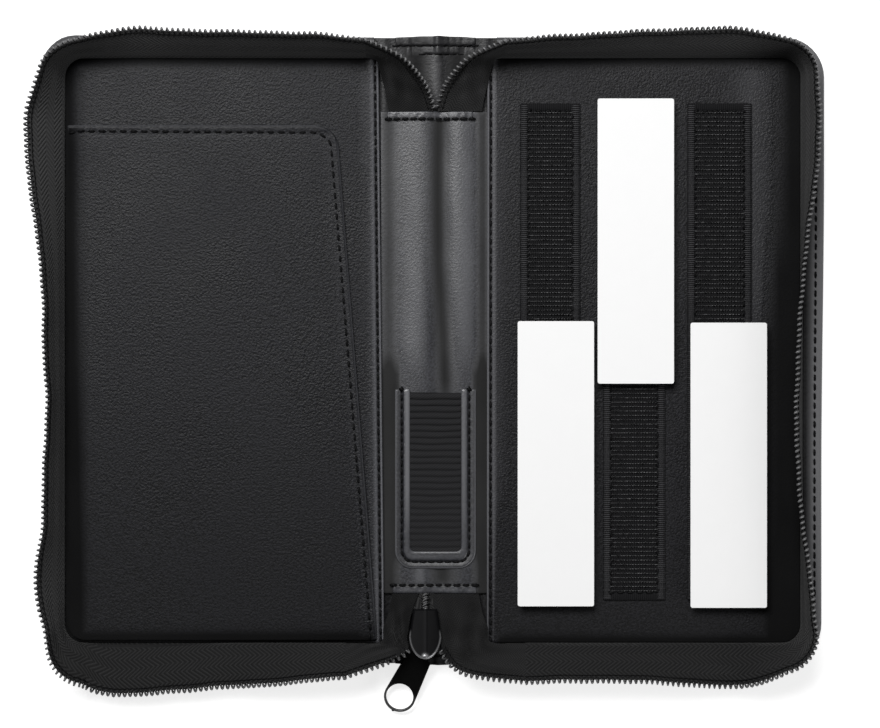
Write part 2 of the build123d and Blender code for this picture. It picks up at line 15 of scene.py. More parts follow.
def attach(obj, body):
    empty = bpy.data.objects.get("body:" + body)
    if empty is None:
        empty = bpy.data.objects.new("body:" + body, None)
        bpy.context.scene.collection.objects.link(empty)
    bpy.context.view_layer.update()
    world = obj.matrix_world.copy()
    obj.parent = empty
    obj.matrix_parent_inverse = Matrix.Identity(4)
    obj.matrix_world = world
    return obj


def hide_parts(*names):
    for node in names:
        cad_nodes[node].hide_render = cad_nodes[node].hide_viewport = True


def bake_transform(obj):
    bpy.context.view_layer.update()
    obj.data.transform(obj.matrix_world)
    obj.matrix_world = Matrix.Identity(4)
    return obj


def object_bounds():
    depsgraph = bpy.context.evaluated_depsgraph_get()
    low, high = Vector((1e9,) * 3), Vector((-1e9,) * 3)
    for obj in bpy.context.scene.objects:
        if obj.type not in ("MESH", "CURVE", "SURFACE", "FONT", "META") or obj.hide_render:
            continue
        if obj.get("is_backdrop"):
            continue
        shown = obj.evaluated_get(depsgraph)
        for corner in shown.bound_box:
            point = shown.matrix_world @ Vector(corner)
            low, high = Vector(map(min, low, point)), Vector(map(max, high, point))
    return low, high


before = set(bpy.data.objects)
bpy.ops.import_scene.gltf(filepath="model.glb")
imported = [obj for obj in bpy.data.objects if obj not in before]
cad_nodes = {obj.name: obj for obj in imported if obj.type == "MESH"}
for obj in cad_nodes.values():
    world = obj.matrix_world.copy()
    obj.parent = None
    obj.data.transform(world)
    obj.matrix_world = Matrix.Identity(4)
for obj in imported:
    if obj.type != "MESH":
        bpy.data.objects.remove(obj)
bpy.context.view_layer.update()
MM = 0.001

# %% [markdown]
# Two helpers serve the whole lesson. Every mesh, lamp and camera needs an object. Every
# finished piece hides the solids of the rigid model it stands for, and moves with a body.

# %% Two helpers
def add_object(name, data):
    """A new object in the scene for a mesh, a lamp or a camera."""
    made = bpy.data.objects.new(name, data)
    bpy.context.scene.collection.objects.link(made)
    return made


def hand_over(piece, body, slot, *solids):
    """Hides the solids a finished piece stands for, attaches it to its body and prints it. slot is not used.
    """
    if solids:
        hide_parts(*solids)
    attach(piece, body)
    print(piece.name, "moves with", body, "and has", len(piece.data.polygons), "faces")


# %% [markdown]
# The camera hangs over the case and looks straight down, as in the photo. A long lens a
# good way off keeps the standing zipper walls from leaning outwards too much. The width
# of the picture at the lining's height fixes how far up the camera has to be.

# %% Camera
PHOTO_WIDTH = 880
PIXELS_PER_MM = 3.0
LENS_MM = 85.0
SENSOR_MM = 36.0
LINING_TOP = 4.0
AIM_X, AIM_Y = 1.5, -4.5

camera_data = bpy.data.cameras.new("overhead_camera")
camera_data.lens = LENS_MM
camera_data.sensor_width = SENSOR_MM
camera_data.dof.use_dof = False
camera = add_object("overhead_camera", camera_data)
camera_height = PHOTO_WIDTH / PIXELS_PER_MM * LENS_MM / SENSOR_MM + LINING_TOP
camera.location = (AIM_X * MM, AIM_Y * MM, camera_height * MM)
bpy.context.scene.camera = camera
print("camera height:", round(camera_height, 1), "mm")

# %% [markdown]
# One broad soft light comes from above the case's top end, and a weak one from low on
# the other side lifts the shadows. Area lamps give both, and their sizes in metres set
# how soft the light is.

# %% Lamps
def lamp(name, place, aim, width, height, power):
    """A soft rectangular lamp, turned to face a point."""
    data = bpy.data.lights.new(name, "AREA")
    data.shape = "RECTANGLE"
    data.size, data.size_y, data.energy = width, height, power
    holder = add_object(name, data)
    holder.location = place
    holder.rotation_euler = (Vector(aim) - Vector(place)).to_track_quat("-Z", "Y").to_euler()


lamp("top_softbox", (-0.28, 0.62, 1.02), aim=(0, 0.02, 0), width=0.8, height=0.5, power=16.5)
lamp("low_fill", (0.80, -0.70, 0.42), aim=(0.05, -0.03, 0), width=0.7, height=0.4, power=3.6)
bpy.context.scene.view_settings.view_transform = "Standard"
print("lamps:", len(bpy.data.lights))

# %% [markdown]
# The photo has a white ground. Brighter lamps would bleach the pads first, so the world
# and the floor look white to the camera only. To everything else the world is a dim even
# fill, and the floor is matt and takes a faint shadow.

# %% World and ground
WORLD_LEVEL = 0.09
GROUND_GLOW = 0.74
GROUND_GREY = (0.55, 0.55, 0.55, 1)
GROUND_REACH = 3.0
GROUND_DROP = -0.0003
WHITE = (1, 1, 1, 1)


def add_node(tree, kind, **values):
    """Adds a node, and sets or links its inputs and settings by name."""
    node = tree.nodes.new(kind)
    for key, value in values.items():
        if key not in node.inputs.keys():
            setattr(node, key, value)
        elif isinstance(value, bpy.types.NodeSocket):
            tree.links.new(value, node.inputs[key])
        else:
            node.inputs[key].default_value = value
    return node


world = bpy.data.worlds.new("studio")
bpy.context.scene.world = world
world.use_nodes = True
sky = world.node_tree
sky.nodes.clear()
sky_light = add_node(sky, "ShaderNodeBackground", Color=WHITE, Strength=WORLD_LEVEL)
sky_white = add_node(sky, "ShaderNodeBackground", Color=WHITE, Strength=1.0)
sky_mix = add_node(sky, "ShaderNodeMixShader")
sky.links.new(add_node(sky, "ShaderNodeLightPath").outputs["Is Camera Ray"], sky_mix.inputs[0])
sky.links.new(sky_light.outputs[0], sky_mix.inputs[1])
sky.links.new(sky_white.outputs[0], sky_mix.inputs[2])
add_node(sky, "ShaderNodeOutputWorld", Surface=sky_mix.outputs[0])

ground_finish = bpy.data.materials.new("white_ground")
ground_finish.use_nodes = True
tree = ground_finish.node_tree
tree.nodes.clear()
ground_level = add_node(tree, "ShaderNodeMath", operation="MULTIPLY")
ground_level.inputs[1].default_value = GROUND_GLOW
tree.links.new(add_node(tree, "ShaderNodeLightPath").outputs["Is Camera Ray"], ground_level.inputs[0])
ground_matt = add_node(tree, "ShaderNodeBsdfDiffuse", Color=GROUND_GREY)
ground_glow = add_node(tree, "ShaderNodeEmission", Color=WHITE, Strength=ground_level.outputs[0])
ground_sum = add_node(tree, "ShaderNodeAddShader")
tree.links.new(ground_matt.outputs[0], ground_sum.inputs[0])
tree.links.new(ground_glow.outputs[0], ground_sum.inputs[1])
add_node(tree, "ShaderNodeOutputMaterial", Surface=ground_sum.outputs[0])

ground_mesh = bpy.data.meshes.new("ground")
ground_corners = [(-1, -1), (1, -1), (1, 1), (-1, 1)]
ground_mesh.from_pydata([(x * GROUND_REACH, y * GROUND_REACH, GROUND_DROP) for x, y in ground_corners],
                        [], [(0, 1, 2, 3)])
ground_mesh.materials.append(ground_finish)
ground = add_object("ground", ground_mesh)
ground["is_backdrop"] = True
print("ground:", 2 * GROUND_REACH, "m wide")

# %% [markdown]
# A finish in Blender is a tree of nodes. Each of these helpers adds one idea to a tree:
# a noise, a change of range, a mix of two colours, a bump. So a finish reads like a recipe.

# %% Helpers for finishes
NOISE_SPAN = (0.3, 0.7)


def begin_material(name):
    """A new node material with its shader, ready for patterns."""
    made = bpy.data.materials.new(name)
    made.use_nodes = True
    made.node_tree.nodes.clear()
    shader = add_node(made.node_tree, "ShaderNodeBsdfPrincipled")
    add_node(made.node_tree, "ShaderNodeOutputMaterial", Surface=shader.outputs["BSDF"])
    return made, made.node_tree, shader


def mm_coordinates(tree, source="Object"):
    """Coordinates in millimetres, from the object or from its UV map."""
    place = add_node(tree, "ShaderNodeTexCoord")
    scale = add_node(tree, "ShaderNodeMapping", Vector=place.outputs[source], Scale=[1 / MM] * 3)
    return scale.outputs["Vector"]


def noise(tree, where, scale, detail, **more):
    """Cloudy noise. A scale of 1 gives clouds about a millimetre wide."""
    node = add_node(tree, "ShaderNodeTexNoise", Vector=where, Scale=scale, Detail=detail, **more)
    return node.outputs["Fac"]


def blend_colors(tree, factor, dark, light):
    """A colour between two, by a pattern. Each may be a colour or a pattern of its own."""
    mix = add_node(tree, "ShaderNodeMix", data_type="RGBA")
    for socket, value in ((6, dark), (7, light)):
        if isinstance(value, bpy.types.NodeSocket):
            tree.links.new(value, mix.inputs[socket])
        else:
            mix.inputs[socket].default_value = (*value, 1)
    tree.links.new(factor, mix.inputs[0])
    return mix.outputs[2]


def remap(tree, value, low, high, start=0.0, end=1.0):
    """A pattern's value moved into another range."""
    spans = {"From Min": start, "From Max": end, "To Min": low, "To Max": high}
    return add_node(tree, "ShaderNodeMapRange", Value=value, **spans).outputs["Result"]


def calculate(tree, operation, first, second=0.0):
    """One sum on patterns or numbers."""
    node = add_node(tree, "ShaderNodeMath", operation=operation)
    for socket, value in zip(node.inputs, (first, second)):
        if isinstance(value, (int, float)):
            socket.default_value = value
        else:
            tree.links.new(value, socket)
    return node.outputs[0]


def add_bump(tree, shader, height, depth, strength=0.8):
    """Lets a pattern tilt the light on the surface. depth is how far it stands out in mm."""
    bump = add_node(tree, "ShaderNodeBump", Height=height, Strength=strength, Distance=depth * MM)
    tree.links.new(bump.outputs["Normal"], shader.inputs["Normal"])


print("a noise's usual span:", NOISE_SPAN)

# %% [markdown]
# Leather shows where it is rubbed, and light and shade are painted into it too. Each
# mesh carries one number for both: up to 1 on a rubbed ridge and where a highlight is
# painted, and down to -1 in a deep dull valley of painted shade. The finishes read it and
# shift their colour.

# %% Wear and painted light
# The colour of painted shade in the deepest valleys.
PAINTED_SHADE_BLACK = (0.0012, 0.0012, 0.0014)


def wear_and_painted_light_amount(tree):
    """The number for wear, painted light and painted shade that the mesh gives a spot."""
    return add_node(tree, "ShaderNodeAttribute", attribute_name="worn").outputs["Fac"]


def color_by_wear_and_painted_light(tree, shader, color, rubbed_and_lit):
    """Sets the base colour: painted shade in the valleys, and the paler colour on rubbed ridges and painted
    highlights.
    """
    worn = wear_and_painted_light_amount(tree)
    painted_shade = remap(tree, worn, 1.0, 0.0, -1.0, 0.0)
    shaded = blend_colors(tree, painted_shade, color, PAINTED_SHADE_BLACK)
    tree.links.new(blend_colors(tree, worn, shaded, rubbed_and_lit), shader.inputs["Base Color"])
    return worn, painted_shade


print("valleys turn to", PAINTED_SHADE_BLACK)

# %% [markdown]
# Leather: imitation leather is a dark coat with a fine pebbled grain. The grain could be
# a picture, but a Voronoi cell pattern with a little noise gives it at any size. Slow
# noise shifts the colour and the gloss, so that large panels don't look flat.

# %% Leather finishes
CELL_SHARE = 0.2
SLOW_SCALE = 0.035


def leather(name, dark, light, roughness, cell, depth, gloss, edge):
    """Grained leather. cell is the grain's size in mm, edge how much paler rubbed edges and painted
    highlights are.
    """
    made, tree, shader = begin_material(name)
    where = mm_coordinates(tree)
    cells = add_node(tree, "ShaderNodeTexVoronoi", Vector=where, Scale=1 / cell, Randomness=1.0)
    fine = noise(tree, where, 0.85 / cell, 2.0, Roughness=0.65)
    slow = noise(tree, where, SLOW_SCALE, 4.0)
    grain = calculate(tree, "ADD", calculate(tree, "MULTIPLY", cells.outputs["Distance"], CELL_SHARE), fine)
    add_bump(tree, shader, grain, depth)
    tone = calculate(tree, "ADD", remap(tree, slow, 0.0, 0.5, *NOISE_SPAN),
                     remap(tree, fine, -0.9, 1.5, *NOISE_SPAN))
    # One pale colour serves both the rubbed edges and the painted highlights.
    rubbed_and_lit = [min(1.0, (0.3 * channel + 0.7 * light[0]) * edge) for channel in light]
    worn, painted_shade = color_by_wear_and_painted_light(tree, shader, blend_colors(tree, tone, dark, light), rubbed_and_lit)
    dull = remap(tree, slow, roughness - 0.05, roughness + 0.07, *NOISE_SPAN)
    dull = calculate(tree, "ADD", dull, calculate(tree, "MULTIPLY", painted_shade, 0.5))
    dull = calculate(tree, "SUBTRACT", dull, remap(tree, worn, 0.0, 0.12))
    tree.links.new(dull, shader.inputs["Roughness"])
    shader.inputs["Specular IOR Level"].default_value = gloss
    return made


cover_leather = leather("black_cover_leather", (0.004, 0.004, 0.0045), (0.012, 0.012, 0.0135),
                        roughness=0.42, cell=0.80, depth=0.12, gloss=0.32, edge=12.0)
lining_leather = leather("soft_lining_leather", (0.0022, 0.0023, 0.0030), (0.0095, 0.0098, 0.0125),
                         roughness=0.46, cell=0.66, depth=0.30, gloss=0.24, edge=18.0)
right_lining = leather("matt_lining_cloth", (0.0016, 0.0016, 0.0022), (0.0095, 0.0095, 0.0118),
                       roughness=0.46, cell=0.60, depth=0.27, gloss=0.25, edge=18.0)
spine_leather = leather("satin_spine_leather", (0.013, 0.0133, 0.0160), (0.031, 0.0320, 0.0385),
                        roughness=0.40, cell=0.62, depth=0.10, gloss=0.74, edge=5.0)
print("leathers:", cover_leather.name, lining_leather.name, right_lining.name, spine_leather.name)

# %% [markdown]
# Woven materials: herringbone twill for the zipper tape, ribbed elastic and hook tape. A
# weave has to follow the cloth, so these patterns read the piece's own UV map, which
# counts millimetres along and across the cloth. A pattern function turns them into a
# height, and the height gives the bump and the colour.

# %% Weaves
def wave(tree, phase):
    """A soft ridge for each whole number of the phase, from 0 to 1."""
    turn = calculate(tree, "MULTIPLY", phase, 2 * math.pi)
    return remap(tree, calculate(tree, "SINE", turn), 0.0, 1.0, -1.0, 1.0)


def slanted(tree, along, across, along_rate, across_rate):
    """Slanting ribs. The rates are ribs for each millimetre along and across."""
    return wave(tree, calculate(tree, "ADD", calculate(tree, "MULTIPLY", along, along_rate),
                                calculate(tree, "MULTIPLY", across, across_rate)))


def herringbone(tree, along, across, band=3.1, along_rate=0.62, across_rate=0.75):
    """Slanting ribs that turn back at every band of the cloth."""
    return slanted(tree, along, calculate(tree, "PINGPONG", across, band), along_rate, across_rate)


def close_herringbone(tree, along, across):
    """The same weave drawn together, as where the tape is bunched up."""
    return herringbone(tree, along, across, 2.0, 1.15, 1.05)


def ribs_and_threads(tree, along, across):
    """The weave of ribbed elastic: fine slanting threads over each rib."""
    return slanted(tree, along, across, 1.3, 0.9)


def cross_threads(tree, along, across):
    """Fine threads that run across a tape's selvedge."""
    return wave(tree, calculate(tree, "MULTIPLY", along, 1.55))


print("weaves:", herringbone.__name__, ribs_and_threads.__name__, cross_threads.__name__)

# %% [markdown]
# The cloth finish itself lays some fuzz over the weave, so that no thread is perfect, and
# it mixes two near blacks by the height. Painted shade darkens the cloth where the mesh's
# number is below 0, as in deep folds, and painted light makes it paler where the number is
# above 0.

# %% Cloth finishes
PAINTED_LIGHT_CLOTH = 2.4


def woven(name, color, light, roughness, pattern, depth, sheen=0.05, gloss=0.22):
    """A cloth whose pattern function turns UV millimetres into a height."""
    made, tree, shader = begin_material(name)
    where = mm_coordinates(tree, "UV")
    split = add_node(tree, "ShaderNodeSeparateXYZ", Vector=where)
    height = pattern(tree, split.outputs["X"], split.outputs["Y"])
    rough = calculate(tree, "ADD", height, calculate(tree, "MULTIPLY", noise(tree, where, 4.0, 2.0), 0.5))
    add_bump(tree, shader, rough, depth)
    # Painted light: the paler colour where the mesh's number is above 0.
    painted_light_color = [min(1.0, PAINTED_LIGHT_CLOTH * channel) for channel in light]
    woven_color = blend_colors(tree, remap(tree, rough, 0.0, 1.0, 0.1, 1.3), color, light)
    color_by_wear_and_painted_light(tree, shader, woven_color, painted_light_color)
    shader.inputs["Roughness"].default_value = roughness
    shader.inputs["Sheen Weight"].default_value = sheen
    shader.inputs["Specular IOR Level"].default_value = gloss
    return made


twill = woven("herringbone_tape", (0.003, 0.003, 0.0032), (0.031, 0.031, 0.0315), 0.8, herringbone, 0.36)
bunched_twill = woven("bunched_tape", (0.005, 0.005, 0.0052), (0.023, 0.023, 0.0235), 0.8,
                      close_herringbone, 0.22)
elastic_weave = woven("ribbed_elastic_weave", (0.005, 0.005, 0.006), (0.034, 0.034, 0.036), 0.75,
                      ribs_and_threads, 0.30, sheen=0.0, gloss=0.14)
hook_weave = woven("hook_tape_weave", (0.002, 0.002, 0.0025), (0.012, 0.012, 0.013), 0.8,
                   cross_threads, 0.12, sheen=0.0, gloss=0.12)
print("cloths:", twill.name, bunched_twill.name, elastic_weave.name, hook_weave.name)

# %% [markdown]
# Thread, nylon, enamel, paper and fleece need no pattern of their own. One recipe with
# slight noise serves them all. Where enamel is rubbed, the mesh's number lets bare metal
# through; on the nylon coil the same number paints a highlight on each turn's head.

# %% Plain finishes
def plain_finish(name, color, roughness, gloss, spread=0.25, grain=1.2, depth=0.02, sheen=0.0,
                 worn=None, worn_metal=0.0):
    """A finish with slight noise. The colour given for rubbing shows where the piece is rubbed, and where a
    highlight is painted.
    """
    made, tree, shader = begin_material(name)
    cloud = noise(tree, mm_coordinates(tree), grain, 3.0)
    dark = [channel * (1 - spread) for channel in color]
    light = [channel * (1 + spread) for channel in color]
    tinted = blend_colors(tree, remap(tree, cloud, 0.0, 1.0, *NOISE_SPAN), dark, light)
    if worn is not None:
        rubbed_and_lit = wear_and_painted_light_amount(tree)
        tinted = blend_colors(tree, rubbed_and_lit, tinted, worn)
        tree.links.new(calculate(tree, "MULTIPLY", rubbed_and_lit, worn_metal), shader.inputs["Metallic"])
    tree.links.new(tinted, shader.inputs["Base Color"])
    add_bump(tree, shader, cloud, depth, 0.4)
    shader.inputs["Roughness"].default_value = roughness
    shader.inputs["Specular IOR Level"].default_value = gloss
    shader.inputs["Sheen Weight"].default_value = sheen
    return made


thread = plain_finish("black_thread", (0.003, 0.003, 0.0034), 0.6, 0.12)
# The nylon's pale colour is a painted highlight, carried by the heads of the coil turns.
nylon = plain_finish("nylon_coil", (0.008, 0.008, 0.0085), 0.34, 0.5, worn=(0.15, 0.15, 0.153))
hook_nylon = plain_finish("hook_nylon", (0.007, 0.007, 0.0075), 0.35, 0.4)
row_nylon = plain_finish("hook_row_nylon", (0.085, 0.085, 0.088), 0.45, 0.5, spread=0.5, grain=0.8)
selvedge_thread = plain_finish("selvedge_thread", (0.045, 0.045, 0.048), 0.6, 0.3)
enamel = plain_finish("black_enamel", (0.0045, 0.0045, 0.005), 0.36, 0.015, spread=0.1, grain=0.4,
                      depth=0.01, worn=(0.42, 0.42, 0.43), worn_metal=0.9)
pull_enamel = plain_finish("black_pull_enamel", (0.0035, 0.0035, 0.0035), 0.34, 0.05, spread=0.1,
                           grain=0.6, depth=0.01, worn=(0.10, 0.10, 0.10), worn_metal=0.6)
liner_paper = plain_finish("white_liner_paper", (0.93, 0.93, 0.93), 0.5, 0.2, spread=0.004, grain=0.2,
                           depth=0.01)
loop_fabric = plain_finish("loop_pad_fabric", (0.05, 0.05, 0.052), 0.9, 0.2, spread=0.3, grain=2.5,
                           depth=0.15, sheen=0.5)
grey_board = plain_finish("black_grey_board", (0.045, 0.044, 0.042), 0.9, 0.2, spread=0.15, grain=1.0,
                          depth=0.05)
print("cloths and finishes:", len(bpy.data.materials))

# %% [markdown]
# Every flat leather part is a panel inside an outline. These helpers tell how far a point
# is from an outline and whether it is inside, move the outline inwards, divide it, or
# round its corners.

# %% Outlines
def edge_distance(points, outlines):
    """How far each point is from the nearest outline, in mm."""
    nearest = np.full(len(points), 1e9)
    for outline in outlines:
        start = np.asarray(outline, float)
        step = np.roll(start, -1, axis=0) - start
        length = np.maximum((step ** 2).sum(1), 1e-12)
        share = ((points[:, None, :] - start) * step).sum(2) / length
        foot = start + np.clip(share, 0, 1)[:, :, None] * step
        nearest = np.minimum(nearest, np.sqrt(((points[:, None, :] - foot) ** 2).sum(2)).min(1))
    return nearest


def inside(points, outline):
    """Which points lie inside an outline, by counting crossings."""
    outline = [tuple(place) for place in outline]
    x, y = points[:, 0], points[:, 1]
    found = np.zeros(len(points), bool)
    for (x1, y1), (x2, y2) in zip(outline, outline[1:] + outline[:1]):
        if y1 != y2:
            crosses = (y1 > y) != (y2 > y)
            found ^= crosses & (x < (x2 - x1) * (y - y1) / (y2 - y1) + x1)
    return found


def inset_outline(outline, inset):
    """The outline moved inwards, with mitred corners. It runs anticlockwise."""
    place = np.asarray(outline, float)
    before = place - np.roll(place, 1, axis=0)
    after = np.roll(place, -1, axis=0) - place
    normals = []
    for step in (before, after):
        step = step / np.maximum(np.linalg.norm(step, axis=1), 1e-9)[:, None]
        normals.append(np.stack([-step[:, 1], step[:, 0]], axis=1))
    both = normals[0] + normals[1]
    scale = 1 + (normals[0] * normals[1]).sum(1)
    return place + inset * both / np.maximum(scale, 0.3)[:, None]


def divided(start, end, step):
    """Places from start towards end, no further apart than a step. The end is left out."""
    count = max(1, math.ceil(math.dist(start, end) / step))
    return [(start[0] + (end[0] - start[0]) * i / count, start[1] + (end[1] - start[1]) * i / count)
            for i in range(count)]


def dense(outline, step):
    """The outline with extra points, so that no side is longer than a step."""
    made = []
    for start, end in zip(outline, list(outline[1:]) + [outline[0]]):
        made += divided(start, end, step)
    return made


def box_corners(left, right, low, high):
    """A rectangle's four corners, anticlockwise."""
    return [(left, low), (right, low), (right, high), (left, high)]


def rounded(corners, radii, fan=7):
    """A polygon with rounded corners, anticlockwise."""
    made = []
    count = len(corners)
    for index, (corner, radius) in enumerate(zip(corners, radii)):
        here = Vector(corner)
        back = (Vector(corners[index - 1]) - here).normalized()
        ahead = (Vector(corners[(index + 1) % count]) - here).normalized()
        half = math.acos(max(-1, min(1, back.dot(ahead)))) / 2
        reach = radius / math.tan(half)
        centre = here + (back + ahead).normalized() * radius / math.sin(half)
        first, last = here + back * reach - centre, here + ahead * reach - centre
        turn = first.angle_signed(last)
        for step in range(fan + 1):
            arm = first.copy()
            arm.rotate(Matrix.Rotation(-turn * step / fan, 2))
            made.append(tuple(centre + arm))
    return made


print("a round corner of 6 mm has", len(rounded(box_corners(0, 20, 0, 20), [6.0] * 4)) // 4, "points")

# %% [markdown]
# Points in millimetres become a mesh in one place. It is shaded smooth, and an edge stays
# sharp only where its faces really turn. A number for wear, painted light and painted shade,
# and a UV map, go along if given.

# %% From points to a mesh
def set_wear_and_painted_light(mesh, worn):
    """Writes each vertex's number for wear, painted light and painted shade into the mesh."""
    mesh.attributes.new("worn", "FLOAT", "POINT").data.foreach_set("value", np.array(worn, np.float32))


def finish_mesh(name, points, faces, finish, uv=None, sharp=40.0, worn=None):
    """A smooth-shaded object from points in mm, sharp only where faces really turn."""
    mesh = bpy.data.meshes.new(name)
    mesh.from_pydata([tuple(np.asarray(point, float) * MM) for point in points], [], faces)
    mesh.validate()
    mesh.materials.append(finish)
    if uv is not None:
        layer = mesh.uv_layers.new(name="cloth")
        for loop in mesh.loops:
            along, across = uv[loop.vertex_index]
            layer.data[loop.index].uv = (along * MM, across * MM)
    if worn is not None:
        set_wear_and_painted_light(mesh, worn)
    mesh.shade_smooth()
    mesh.set_sharp_from_angle(angle=math.radians(sharp))
    return add_object(name, mesh)


def repaint(node, finish):
    """Gives a rigid solid of the CAD model a finish from this script."""
    cad_nodes[node].data.materials.clear()
    cad_nodes[node].data.materials.append(finish)


print("points in mm are scaled by", MM)

# %% [markdown]
# A panel's top is a height that depends on how far a point is from the edge, so a rolled
# rim or a stitch groove is one line of arithmetic. The outline, a few rings inside it and
# a grid of inner points are triangulated, and walls close the top to the underside.

# %% Panels
def edge_wear(x, y, depth):
    """Wear along a panel's edge: strongest at the rim, gone a millimetre further in."""
    return 0.75 * np.exp(-(depth / 0.6) ** 2)


def no_wear(x, y, depth):
    """For edges that lie hidden."""
    return 0.0 * depth


def flat_layout(loops, inner, outline, hole):
    """Triangles between the loops and the inner points, without those outside the outline."""
    edges, points = [], []
    for loop in loops:
        first = len(points)
        points += [tuple(p) for p in loop]
        edges += [(first + i, first + (i + 1) % len(loop)) for i in range(len(loop))]
    points += [tuple(p) for p in inner]
    flat, _, faces, *_ = geometry.delaunay_2d_cdt([Vector(p) for p in points], edges, [], 0, 1e-4)
    flat = np.array([tuple(p) for p in flat])
    faces = np.array([face for face in faces if len(face) == 3])
    middles = flat[faces].mean(1)
    kept = inside(middles, outline)
    if hole is not None:
        kept &= ~inside(middles, hole)
    faces = faces[kept]
    a, b, c = (flat[faces[:, i]] for i in range(3))
    turn = (b[:, 0] - a[:, 0]) * (c[:, 1] - a[:, 1]) - (b[:, 1] - a[:, 1]) * (c[:, 0] - a[:, 0])
    faces[turn < 0] = faces[turn < 0][:, ::-1]
    used = sorted(set(faces.ravel()))
    renumber = {old: new for new, old in enumerate(used)}
    return flat[used], [tuple(renumber[i] for i in face) for face in faces]


def directed_sides(faces):
    """The sides of all faces, each once, in the order and the way round of the faces."""
    return dict.fromkeys(pair for face in faces for pair in zip(face, face[1:] + face[:1]))


def panel(name, outline, top, bottom, rings, spacing, finish, hole=None, place=None, detail=(),
          sharp=40.0, paint_wear_and_light=edge_wear):
    """A closed panel. top and bottom give heights from x, y and the distance to the edge."""
    outlines = [outline] if hole is None else [outline, hole]
    loops = [np.asarray(outline, float)] + [inset_outline(outline, inset) for inset in rings]
    if hole is not None:
        loops += [np.asarray(hole, float)] + [inset_outline(hole, -inset) for inset in rings]
    low, high = loops[0].min(0), loops[0].max(0)
    grid = [(x, y) for x in np.arange(low[0] + spacing / 2, high[0], spacing)
            for y in np.arange(low[1] + spacing / 2, high[1], spacing)]
    grid = np.array(grid + list(detail))
    keep = inside(grid, loops[0]) & (edge_distance(grid, outlines) > rings[-1] + spacing * 0.35)
    if hole is not None:
        keep &= ~inside(grid, hole)
    flat, faces = flat_layout(loops, grid[keep], loops[0], hole)
    depth = edge_distance(flat, outlines)
    x, y = flat[:, 0], flat[:, 1]
    half = len(flat)
    borders = directed_sides(faces)
    walls = [(s, f, f + half, s + half) for f, s in borders if (s, f) not in borders]
    every = faces + [tuple(i + half for i in reversed(face)) for face in faces] + walls
    points = np.vstack([np.column_stack([x, y, top(x, y, depth) + 0 * x]),
                        np.column_stack([x, y, bottom(x, y, depth) + 0 * x])])
    uv = points[:, :2]
    if place is not None:
        points = np.array([tuple(place @ Vector(point)) for point in points])
    # Each vertex gets a number for wear, painted light and painted shade.
    return finish_mesh(name, points, every, finish, uv, sharp, np.tile(paint_wear_and_light(x, y, depth), 2))


print("wear at a panel's rim:", edge_wear(0, 0, 0.0))

# %% [markdown]
# Two shapes come back in nearly every panel: the round drop of a rolled edge, and a smooth
# ridge or groove along a line. ease() fades one form into another.

# %% Rolled edges, ridges and grooves
def roll(depth, radius):
    """How far a rolled edge of that radius drops, at a distance from the edge."""
    inner = np.clip(radius - depth, 0, radius)
    return radius - np.sqrt(radius ** 2 - inner ** 2)


def dip(value, centre, width):
    """A smooth bump or groove of height 1 around a value."""
    return np.exp(-((value - centre) / width) ** 2)


def ease(value, start, end):
    """0 before the start, 1 after the end, and a smooth climb between."""
    share = min(1.0, max(0.0, (value - start) / (end - start)))
    return share * share * (3 - 2 * share)


def level_at(height):
    """A panel's face that stays at one height."""
    return lambda x, y, d: height + 0 * x


print("a groove 0.4 mm wide, 0.4 mm from its middle:", round(float(dip(0.4, 0, 0.4)), 2))

# %% [markdown]
# The rim of a cover, the zipper tape and the coil all follow the cover's three outer
# sides. A path is a list of places with the way outwards, from the fold at the top to the
# fold at the bottom.

# %% The path round a cover
FOLD_X = 17.0
END_X = 129.0
HALF_Y = 104.7
CORNER = 13.5
sides = {"front_cover": -1, "back_cover": 1}


def cover_path(side, inset, top_x, bottom_x, step=3.0, fan=10):
    """Places and ways outwards along a cover's three outer sides."""
    far_x, far_y, radius = END_X - inset, HALF_Y - inset, CORNER - inset
    turn_x, turn_y = far_x - radius, far_y - radius
    rows = []

    def run(start, end, outward):
        count = max(1, math.ceil(math.dist(start, end) / step))
        for index in range(count + 1):
            share = index / count
            spot = (start[0] + share * (end[0] - start[0]), start[1] + share * (end[1] - start[1]))
            rows.append((spot, outward))

    def bend(y_sign):
        for index in range(1, fan):
            angle = math.radians(90 * index / fan)
            way = (math.sin(angle), math.cos(angle))
            if y_sign < 0:
                way = (math.cos(angle), -math.sin(angle))
            rows.append(((turn_x + radius * way[0], y_sign * turn_y + radius * way[1]), way))

    run((top_x, far_y), (turn_x, far_y), (0, 1))
    bend(1)
    run((far_x, turn_y), (far_x, -turn_y), (1, 0))
    bend(-1)
    run((turn_x, -far_y), (bottom_x, -far_y), (0, -1))
    return [(Vector((side * x, y, 0)), Vector((side * way[0], way[1], 0))) for (x, y), way in rows]


def travelled_along(path):
    """How far along a path each of its places is."""
    steps = [(after[0] - before[0]).length for before, after in zip(path, path[1:])]
    return np.concatenate([[0], np.cumsum(steps)])


print("path round a cover:", round(travelled_along(cover_path(1, 6.9, 23, 30))[-1], 1), "mm")

# %% [markdown]
# A loft carries one cross-section along a path. lofted() joins the rows of points into one
# closed skin, with a UV map that counts millimetres along and across it.

